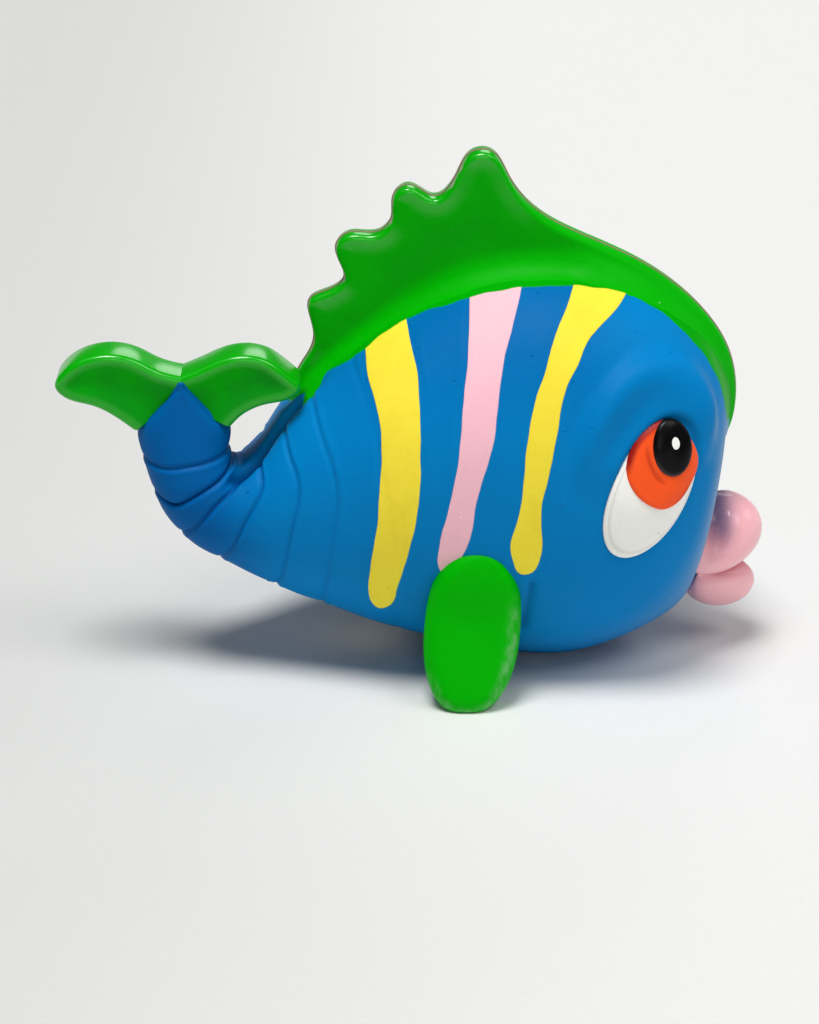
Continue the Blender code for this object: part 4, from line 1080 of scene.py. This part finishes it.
crestForm = {
    "edge": ((59.2, 42.2), (60.9, 45.0), (61.9, 48.4), (62.2, 52.2), (60.3, 61.8), (53.9, 70.9), (44.1, 78.5),
             (33.3, 83.8), (24.1, 88.6), (17.5, 96.2), (13.7, 101.2), (10.7, 100.9), (7.4, 95.8), (3.4, 92.2),
             (-1.5, 94.4), (-4.1, 92.6), (-4.6, 88.0), (-7.4, 85.1), (-13.1, 84.8), (-15.2, 82.4), (-13.7, 76.0),
             (-16.5, 73.6), (-20.3, 71.7), (-19.6, 64.5), (-22.9, 57.0), (-24.5, 50.6)),
    "root": ((-19.9, 50.0), (-8.9, 60.0), (11.1, 71.0), (29.1, 72.0), (46.1, 67.0), (56.1, 52.0)),
    "ridge": (8.0, 122.0),  # places along the body that the crest stands on
    "footRows": (-2.4, -2.0, -1.6, -1.2, -0.8, -0.4, 0.0, 0.5, 1.1, 1.8),  # rows of points near the skin
    "half": 3.1, "round": 1.1, "hollow": 0.4, "hollowFrom": (2.5, 11.0),
    "rear": (-24.0, 34.0, 0.35), "front": (63.0, 22.0, 0.4),  # X of an end, length of its taper, share left there
    "thinnest": 0.6,
    "fillet": 5.0, "frontFillet": 1.25, "frontFrom": (15.0, 35.0), "widest": 14.0, "rim": 3.0,
    # painted shade over the crest's sunken middle
    "sunk": 0.8, "sunkIn": (4.0, 11.0), "sunkUp": (3.0, 9.0), "sunkTo": (8.0, 24.0),
    "bare": 0.7, "bareTo": (0.1, 0.5), "bareFacing": (0.6, 0.95), "bareUp": (1.0, 5.0),
    "wetIn": (1.5, 4.0), "wetFacing": (0.2, 0.8), "wetTo": (14.0, 24.0),
    "rings": (0.12, 0.35, 0.7, 1.15, 1.7, 2.3, 3.0), "spacing": 0.8, "seam": 0.22,
}
crestEdge = smoothLine(crestForm["edge"], 420)


def crestTaper(x):
    rearX, rearLength, rearLeft = crestForm["rear"]
    frontX, frontLength, frontLeft = crestForm["front"]
    rear = np.clip((x - rearX) / rearLength, 0.0, 1.0)
    front = np.clip((frontX - x) / frontLength, 0.0, 1.0)
    return (rearLeft + (1.0 - rearLeft) * rear) * (frontLeft + (1.0 - frontLeft) * front)


def crestMesh():
    rows = splineAt(bodyCurve, np.linspace(*crestForm["ridge"], 260))
    ridge = rows[:, 0:2]
    outward = -leftOf(np.gradient(ridge, axis=0))
    extra = np.concatenate([ridge + outward * lift for lift in crestForm["footRows"]])
    closed = np.concatenate([crestEdge, np.array(crestForm["root"])])
    _, flat, faces = plateMesh(closed, crestForm["rings"], crestForm["spacing"], extra)
    distance, nearest = edgeDistance(flat, np.concatenate([crestEdge, crestEdge[::-1]]))
    at = np.linalg.norm(flat[:, None] - ridge[None], axis=2).argmin(1)
    height = ((flat - ridge[at]) * outward[at]).sum(1)
    wide = rows[at, 4]
    tall = 0.5 * np.linalg.norm(rows[at, 0:2] - rows[at, 2:4], axis=1)
    taper = crestTaper(flat[:, 0])
    thin = crestForm["thinnest"]
    plate = rounded(crestForm["half"], crestForm["round"], distance) * (thin + (1.0 - thin) * taper)
    plate -= crestForm["hollow"] * ramp(distance, *crestForm["hollowFrom"]) * taper
    ahead = crestForm["frontFillet"] * ramp(flat[:, 0], *crestForm["frontFrom"])
    fillet = crestForm["fillet"] * np.maximum(taper, ahead)
    power = fishBody["power"]
    low = np.zeros(len(flat))
    high = np.full(len(flat), crestForm["widest"])
    for _ in range(30):  # where the fillet meets the falling side of the back
        y = 0.5 * (low + high)
        level = np.maximum(1.0 - (y / np.maximum(wide, y + 0.1)) ** power, 0.0) ** (1.0 / power)
        lift = height + tall * (1.0 - level)
        inner = np.clip(fillet - lift, 0.0, fillet)
        spread = fillet - np.sqrt(np.maximum(fillet**2 - inner**2, 0.0))
        want = plate + spread + np.maximum(-lift, 0.0) * 2.0
        low = np.where(want > y, y, low)
        high = np.where(want > y, high, y)
    share = np.clip(distance / crestForm["rim"], 0.0, 1.0)
    depth = plate * (1.0 - share) + y * share
    facing = -leftOf(np.gradient(crestEdge, axis=0))
    facing = np.concatenate([facing, facing[::-1]])[np.minimum(nearest, 2 * len(crestEdge) - 1)]
    return flat, faces, distance, depth, facing, height


def makeCrest():
    flat, faces, distance, depth, facing, height = crestMesh()
    x = flat[:, 0]

    def between(value, key):
        return ramp(value, *crestForm[key])

    sunk = crestForm["sunk"] * between(distance, "sunkIn") * between(height, "sunkUp") * (1.0 - between(x, "sunkTo"))
    bare = (1.0 - between(distance, "bareTo")) * between(-facing[:, 0], "bareFacing") * between(height, "bareUp")
    wet = (1.0 - between(distance, "wetIn")) * between(facing[:, 1], "wetFacing") * (1.0 - between(x, "wetTo"))
    marks = greenMarks(len(flat), sunk=sunk, bare=bare * crestForm["bare"], wet=wet)
    piece = makePiece("crest", bothFaces(flat, depth, -depth), faces, materials["green"], marks)
    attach(piece, "body")
    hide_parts("crest_fin")


def crestSeam():
    line = bpy.data.meshes.new("crestSeam")
    points = np.insert(crestEdge, 1, 0.0, axis=1)
    line.from_pydata((points * mm).tolist(), [(i, i + 1) for i in range(len(points) - 1)], [])
    piece = runTree("crestSeam", line, mouldSeam, {"Radius": crestForm["seam"] * mm, "Paint": materials["bare"]})
    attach(piece, "body")


makeCrest()
crestSeam()
print("crest made")

# pectoral fins

finForm = {
    "length": 33.2, "width": 18.4, "half": 4.0, "edge": 3.0, "power": 2.3, "lean": 16.0, "x": 10.8, "y": 32.2,
    "floorCut": 0.15, "crown": 0.3, "crownFrom": (0.0, 8.0), "slant": 0.07,
    "shoulder": 1.5, "shoulderFrom": (0.0, 13.0), "shoulderRim": 2.0,
    "bendY": 26.0, "bendFrom": 28.0, "bendTo": 17.0,
    # worn paint along the front of the rim and round the foot
    "chamfer": (1.4, 0.9, 0.5), "chamferX": (3.0, 6.5), "chamferZ": (-8.0, 0.0),
    "rimWorn": 0.4, "rimTo": (0.8, 2.0), "rimZ": (7.0, 12.0),
    "rings": (0.15, 0.45, 0.9, 1.5, 2.2, 3.0, 3.8), "spacing": 1.0,
}


def fullTurn(count):
    return 2.0 * math.pi * np.arange(count) / count


def makeFin(name, side):
    turn = fullTurn(180)
    power = 2.0 / finForm["power"]
    outline = np.stack([0.5 * finForm["width"] * raised(np.cos(turn), power),
                        0.5 * finForm["length"] * raised(np.sin(turn), power)], 1)
    outline, flat, faces = plateMesh(outline, finForm["rings"], finForm["spacing"])
    x, z = flat.T
    distance, _ = edgeDistance(flat, outline)
    depth = rounded(finForm["half"] - finForm["crown"], finForm["edge"], distance)
    depth = depth + finForm["crown"] * ramp(distance, *finForm["crownFrom"])
    shoulder = finForm["shoulder"] * ramp(z, *finForm["shoulderFrom"])
    shoulder = shoulder * np.clip(distance / finForm["shoulderRim"], 0.0, 1.0)
    own = bothFaces(flat, depth + shoulder, -depth)
    own[:, 0] += finForm["slant"] * own[:, 2]
    lean = math.radians(finForm["lean"])
    ahead = np.array([1.0, 0.0, 0.0])
    out = np.array([0.0, side * math.cos(lean), math.sin(lean)])
    down = np.array([0.0, side * math.sin(lean), -math.cos(lean)])
    foot = np.array([finForm["x"], side * finForm["y"], -finForm["floorCut"]])
    middle = foot - down * (0.5 * finForm["length"] - finForm["half"] * math.tan(lean))
    points = middle + own @ np.array([ahead, out, -down])
    points[:, 2] = np.maximum(points[:, 2], 0.0)
    away, wide, share = finForm["chamfer"]
    chamfer = share * hump(distance - away, wide) * ramp(x, *finForm["chamferX"]) * ramp(-z, *finForm["chamferZ"])
    rim = finForm["rimWorn"] * (1.0 - ramp(distance, *finForm["rimTo"])) * ramp(-z, *finForm["rimZ"])
    marks = greenMarks(len(flat), worn=np.maximum(chamfer, rim))
    piece = makePiece("fin" + name, points, faces, materials["green"], marks)
    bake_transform(piece)
    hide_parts(name.lower() + "_fin", name.lower() + "_fin_root")


for sideName, sideSign in sides.items():
    makeFin(sideName, sideSign)
print("fins made")

# lips

lipForm = {  # middle X and Z, reach, half height, half width, sweep and rise at the corners
    "Upper": (60.7, 24.0, 8.0, 7.0, 12.0, 5.5, -2.5),
    "Lower": (60.5, 12.3, 7.2, 5.5, 9.5, 5.0, 5.5),
    "ends": {"Upper": (2.0, 0.4), "Lower": (1.3, 0.8)},  # how the roll thins towards the corners
    "foldShades": {"Upper": (0.4, 17.5, 1.2), "Lower": (0.5, 16.5, 1.4)},  # painted shade where they meet: share, Z, width
    "dentX": 59.0, "dentWidth": 2.7, "dentDepth": 0.27, "dentFrom": (19.5, 26.0), "dentShade": 0.6,
    "sprayAndShade": 0.9, "sprayFrom": (22.0, 28.0),
    "rings": 57, "points": 72,
}


def makeLip(name):
    middleX, middleZ, reach, height, width, sweep, rise = lipForm[name]
    turn = fullTurn(lipForm["points"])
    share = np.sin(np.linspace(-0.5, 0.5, lipForm["rings"]) * math.pi)[1:-1, None]
    bend, thin = lipForm["ends"][name]
    swell = (1.0 - np.abs(share) ** bend) ** thin
    x = middleX - sweep * share**2 + reach * swell * np.cos(turn)
    z = middleZ + rise * share**2 + height * swell * np.sin(turn)
    y = np.broadcast_to(width * share, x.shape)
    foldShare, foldZ, foldWidth = lipForm["foldShades"][name]
    foldShade = foldShare * hump(z - foldZ, foldWidth)
    sprayAndShade = np.zeros(x.shape)
    if name == "Upper":  # dented by the nose above it, with blue spray and painted shade in the dent
        dent = hump(x - lipForm["dentX"], lipForm["dentWidth"]) * ramp(z, *lipForm["dentFrom"])
        y = y * (1.0 - lipForm["dentDepth"] * dent)
        sprayAndShade = lipForm["sprayAndShade"] * dent * ramp(z, *lipForm["sprayFrom"])
        foldShade = lipForm["dentShade"] * dent + foldShade
    points = np.stack([x, y, z], -1)
    piece = makePiece("lip" + name, points.reshape(-1, 3), tubeFaces(*x.shape), materials["pink"],
                      {"sprayAndShade": sprayAndShade.ravel(), "foldShade": foldShade.ravel()})
    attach(piece, "body")
    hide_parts(name.lower() + "_lip")


for lipName in ("Upper", "Lower"):
    makeLip(lipName)
print("lips made")


# eyes: patches that lie on the skin

def onSkin(u, v, side):  # place and angle of the point of the skin at a spot of the eye's own frame
    middle, across, up = eyeAxes(side)
    places = np.linspace(*eyeForm["places"], 120)
    angles = np.linspace(*eyeForm["angles"], 120) * -side
    points = bodyPoint(places[:, None], angles[None])
    row, column = np.unravel_index(((points - middle) ** 2).sum(-1).argmin(), points.shape[:2])
    place = np.full(u.shape, places[row])
    angle = np.full(u.shape, angles[column])

    def miss(place, angle):
        away = bodyPoint(place, angle) - middle
        return np.stack([away @ across - u, away @ up - v], -1)

    def crossed(first, second):
        return first[..., 0] * second[..., 1] - second[..., 0] * first[..., 1]

    small, tiny = 0.05, 0.002
    for _ in range(12):  # steps of Newton's method, kept short
        error = miss(place, angle)
        byPlace = (miss(place + small, angle) - error) / small
        byAngle = (miss(place, angle + tiny) - error) / tiny
        size = crossed(byPlace, byAngle)
        place = place - np.clip(crossed(error, byAngle) / size, -4.0, 4.0)
        angle = angle - np.clip(crossed(byPlace, error) / size, -0.2, 0.2)
    return place, angle


def ovalOutline(oval, count):
    cos, sin = ovalTilt(oval)
    a, b = oval[2] * np.cos(fullTurn(count)), oval[3] * np.sin(fullTurn(count))
    return np.stack([oval[0] + a * cos - b * sin, oval[1] + a * sin + b * cos], 1)


# height over the skin and mark of each part; share is 0 at its centre and 1 at its rim

def whiteHeight(u, v):
    radius = np.minimum(ovalRadius(u, v, eyeForm["white"]), 1.0)
    return eyeForm["whiteLeast"] + eyeForm["whiteRise"] * (1.0 - radius**2) ** 0.6


def edged(share):  # 1 inside, falling to 0 at the rim in a quarter round
    start = eyeForm["roundFrom"]
    return np.sqrt(np.clip(1.0 - np.clip((share - start) / (1.0 - start), 0.0, 1.0) ** 2, 0.0, 1.0))


def dome(share):
    return np.sqrt(np.clip(1.0 - share**2, 0.0, 1.0))


def whiteGroove(share, width):
    return hump((share - 0.9) * 9.0, width)


def irisFold(u, v, width):  # crease in the iris, behind and below the pupil
    ring = (ovalRadius(u, v, eyeForm["pupil"]) - 1.28) * 4.4
    return ramp(8.0 - v, 0.0, 3.0) * ramp(3.0 - u, 0.0, 3.0) * hump(ring, width)


def whiteLift(u, v, share):
    return whiteHeight(u, v) * (0.35 + 0.65 * edged(share)) - 0.07 * whiteGroove(share, 0.22)


# painted shade in the groove inside the rim, and a darker outline at the rim itself
def whiteGrooveShadeAndRimMark(u, v, share):
    return 0.5 * whiteGroove(share, 0.25) + 0.6 * ramp(share, 0.98, 1.0)


def irisLift(u, v, share):
    rise = eyeForm["irisRise"] - 0.15 * irisFold(u, v, 0.5)
    return whiteHeight(u, v) * (1.0 - 0.2 * ramp(share, 0.93, 1.0)) + rise * edged(share)


# painted shade under the lid, in the fold below the pupil and at the lower front
def irisShadeMark(u, v, share):
    rear = ramp(share, 0.8, 0.95) * ramp(v - 1.2 * u, 6.0, 11.0)
    front = 0.6 * ramp(share, 0.75, 1.0) * ramp(u, 4.5, 6.5) * (1.0 - ramp(v, 2.0, 5.0))
    return np.clip(0.6 * irisFold(u, v, 0.4) + rear + front, 0.0, 1.0)


def pupilLift(u, v, share):
    return whiteHeight(u, v) + 0.6 * eyeForm["irisRise"] + eyeForm["pupilRise"] * dome(share) ** 0.8


def pupilMark(u, v, share):
    return ramp(share, 0.8, 1.0) * ramp(-v, -6.5, -3.5)


def glintLift(u, v, share):
    ground = whiteHeight(u, v) + 0.6 * eyeForm["irisRise"] + 0.93 * eyeForm["pupilRise"]
    return ground + eyeForm["glintRise"] * dome(share)


def glintMark(u, v, share):
    return np.zeros(u.shape)


def eyeOutlines():
    white = ovalOutline(eyeForm["white"], 120)
    iris = smoothLine(np.array(eyeForm["iris"] + eyeForm["iris"][:1]), 121)[:-1]
    for _ in range(50):  # high up the white stays under the iris
        shown = (signedDistance(white, iris) < 0.5) & (white[:, 1] > 5.5)
        white = np.where(shown[:, None], white + 0.02 * (np.array(eyeForm["irisMiddle"]) - white), white)
    return white, iris, ovalOutline(eyeForm["pupil"], 80), ovalOutline(eyeForm["glint"], 40)


whiteLine, irisLine, pupilLine, glintLine = eyeOutlines()
eyeParts = (  # name, outline, centre, height, paint, mark
    ("White", whiteLine, eyeForm["white"][:2], whiteLift, "white", whiteGrooveShadeAndRimMark),
    ("Iris", irisLine, eyeForm["irisMiddle"], irisLift, "orange", irisShadeMark),
    ("Pupil", pupilLine, eyeForm["pupil"][:2], pupilLift, "black", pupilMark),
    ("Glint", glintLine, eyeForm["glint"][:2], glintLift, "white", glintMark),
)


def eyePatch(name, side, part, outline, centre, height, paintName, edgeAndShadeMark):
    count = len(outline)
    share = np.sin(np.linspace(0.0, 0.5, eyeForm["rows"]) * math.pi)[1:, None, None]
    spots = np.array(centre) + (outline[None] - centre) * share
    u, v = spots[..., 0], spots[..., 1]
    share = np.broadcast_to(share[..., 0], u.shape)
    lift = height(u, v, share)
    edge = edgeAndShadeMark(u, v, share)
    u = np.concatenate([[[centre[0]] * count], u, u[-1:]])
    v = np.concatenate([[[centre[1]] * count], v, v[-1:]])
    lift = np.concatenate([lift[:1], lift, np.full((1, count), -eyeForm["sink"])])
    place, angle = onSkin(u, v, side)
    lift = lift + browRelief(u, v)
    points = bodyPoint(place, angle) + lift[..., None] * bodyNormal(place, angle)
    levels = len(points) - 1
    flat = np.concatenate([points[1:].reshape(-1, 3), points[:1, 0]])
    faces = gridFaces(levels, count, True)
    faces += [(len(flat) - 1, (c + 1) % count, c) for c in range(count)]
    faces.append(tuple((levels - 1) * count + c for c in range(count)))
    marks = {"edge": np.concatenate([edge.ravel(), edge[-1], edge[0, :1]])}
    piece = makePiece(f"eye{part}{name}", flat, faces, materials[paintName], marks)
    followFlank(piece)
    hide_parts(f"{name.lower()}_eye_{part.lower()}")


for sideName, sideSign in sides.items():
    for settings in eyeParts:
        eyePatch(sideName, sideSign, *settings)
print("eyes made")

# the squeaker keeps its solids

for nodeName in ("squeaker_cup", "squeaker_cap", "reed_tube", "reed_clip", "reed"):
    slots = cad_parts[nodeName].data.materials
    slots.clear()
    slots.append(materials["reed" if nodeName == "reed" else "plastic"])
print("squeaker painted")

# floor, lights, camera

stageForm = {
    "cove": (72, 13, 4.0, 8.0, 0.8),  # sides, rows, where the flat floor ends, reach and height of its upturned rim
    # painted shade: the floor is darker towards the left, where less light falls
    "floorShadedLeft": paint(206, 207, 205), "floorRight": paint(228, 228, 226), "floorX": (-0.13, 0.05),
    "tone": paint(186, 186, 192), "toneShare": 0.1, "bump": (0.4, 0.2 * mm),
    "world": (0.95, 0.97, 1.0, 1.0), "worldStrength": 0.03,
    "lamps": (  # azimuth from the camera's side to the right, elevation, width in degrees, strength, colour
        ("topLamp", 318.0, 79.0, 22.0, 2.58, (1.0, 1.0, 1.0)),
        ("frontLamp", 3.0, 25.0, 30.0, 0.33, (1.0, 1.0, 1.0)),
        ("rightLamp", 65.0, 56.0, 30.0, 0.82, (1.0, 0.99, 0.975)),
        ("leftLamp", 275.0, 60.0, 30.0, 0.1, (0.985, 0.99, 1.0)),
        ("lowRightLamp", 110.0, 27.0, 20.0, 0.2, (1.0, 1.0, 1.0)),
        ("lowBackLamp", 172.0, 27.0, 20.0, 0.26, (1.0, 1.0, 1.0)),
    ),
    "target": (-1.188 * mm, 0.0, 27.0 * mm), "distance": 0.6, "elevation": 23.0, "lens": 106.52,
}


def makeFloor():
    count, rows, flatTo, reach, tall = stageForm["cove"]
    turn = fullTurn(count)
    share = np.linspace(0.0, 0.5 * math.pi, rows)[:, None]
    radius = flatTo + (reach - flatTo) * np.sin(share)
    height = np.broadcast_to(tall * (1.0 - np.cos(share)), (rows, count))
    points = np.stack([radius * np.cos(turn), radius * np.sin(turn), height], -1).reshape(-1, 3)
    upwards = [(f[0], *f[:0:-1]) for f in gridFaces(rows, count, True)]
    material, tree, shader = newMaterial("paleFloor")
    place = objectPlace(tree)
    tone = noise(tree, place, 900.0, 4.0, 0.6)
    across = addNode(tree, "ShaderNodeSeparateXYZ", None, {0: place}).outputs[0]
    # painted shade: darker floor towards the left
    right = stepMask(tree, across, *stageForm["floorX"])
    white = mixPaint(tree, right, stageForm["floorShadedLeft"], stageForm["floorRight"])
    colour = mixPaint(tree, times(tree, tone, stageForm["toneShare"]), white, stageForm["tone"])
    tree.links.new(colour, shader["Base Color"])
    strength, depth = stageForm["bump"]
    bump = addNode(tree, "ShaderNodeBump", None, {"Strength": strength, "Distance": depth, "Height": tone})
    tree.links.new(bump.outputs[0], shader["Normal"])
    shader["Roughness"].default_value = 0.7
    shader["Specular IOR Level"].default_value = 0.2
    floor = makePiece("floor", points / mm, [tuple(range(count))] + upwards, material, closed=False)


def makeLamp(name, azimuth, elevation, width, strength, colour):
    data = bpy.data.lights.new(name, "SUN")
    data.angle = math.radians(width)
    data.energy = strength
    data.color = colour
    lamp = addObject(name, data)
    turn, rise = math.radians(azimuth), math.radians(elevation)
    towards = Vector((math.sin(turn) * math.cos(rise), -math.cos(turn) * math.cos(rise), math.sin(rise)))
    lamp.location = towards
    lamp.rotation_euler = (-towards).to_track_quat("-Z", "Y").to_euler()


def makeStage():
    scene = bpy.context.scene
    makeFloor()
    for lamp in stageForm["lamps"]:
        makeLamp(*lamp)
    scene.world = bpy.data.worlds.new("studio")
    scene.world.use_nodes = True
    backdrop = scene.world.node_tree.nodes["Background"].inputs
    backdrop["Color"].default_value = stageForm["world"]
    backdrop["Strength"].default_value = stageForm["worldStrength"]
    camera = addObject("camera", bpy.data.cameras.new("camera"))
    rise = math.radians(stageForm["elevation"])
    forward = Vector((0.0, math.cos(rise), -math.sin(rise)))
    camera.location = Vector(stageForm["target"]) - forward * stageForm["distance"]
    camera.rotation_euler = (0.5 * math.pi - rise, 0.0, 0.0)
    camera.data.lens = stageForm["lens"]
    camera.data.sensor_width = 36.0
    camera.data.clip_start = 0.01
    scene.camera = camera
    scene.view_settings.view_transform = "Standard"


makeStage()
print("stage made")

bpy.context.view_layer.update()
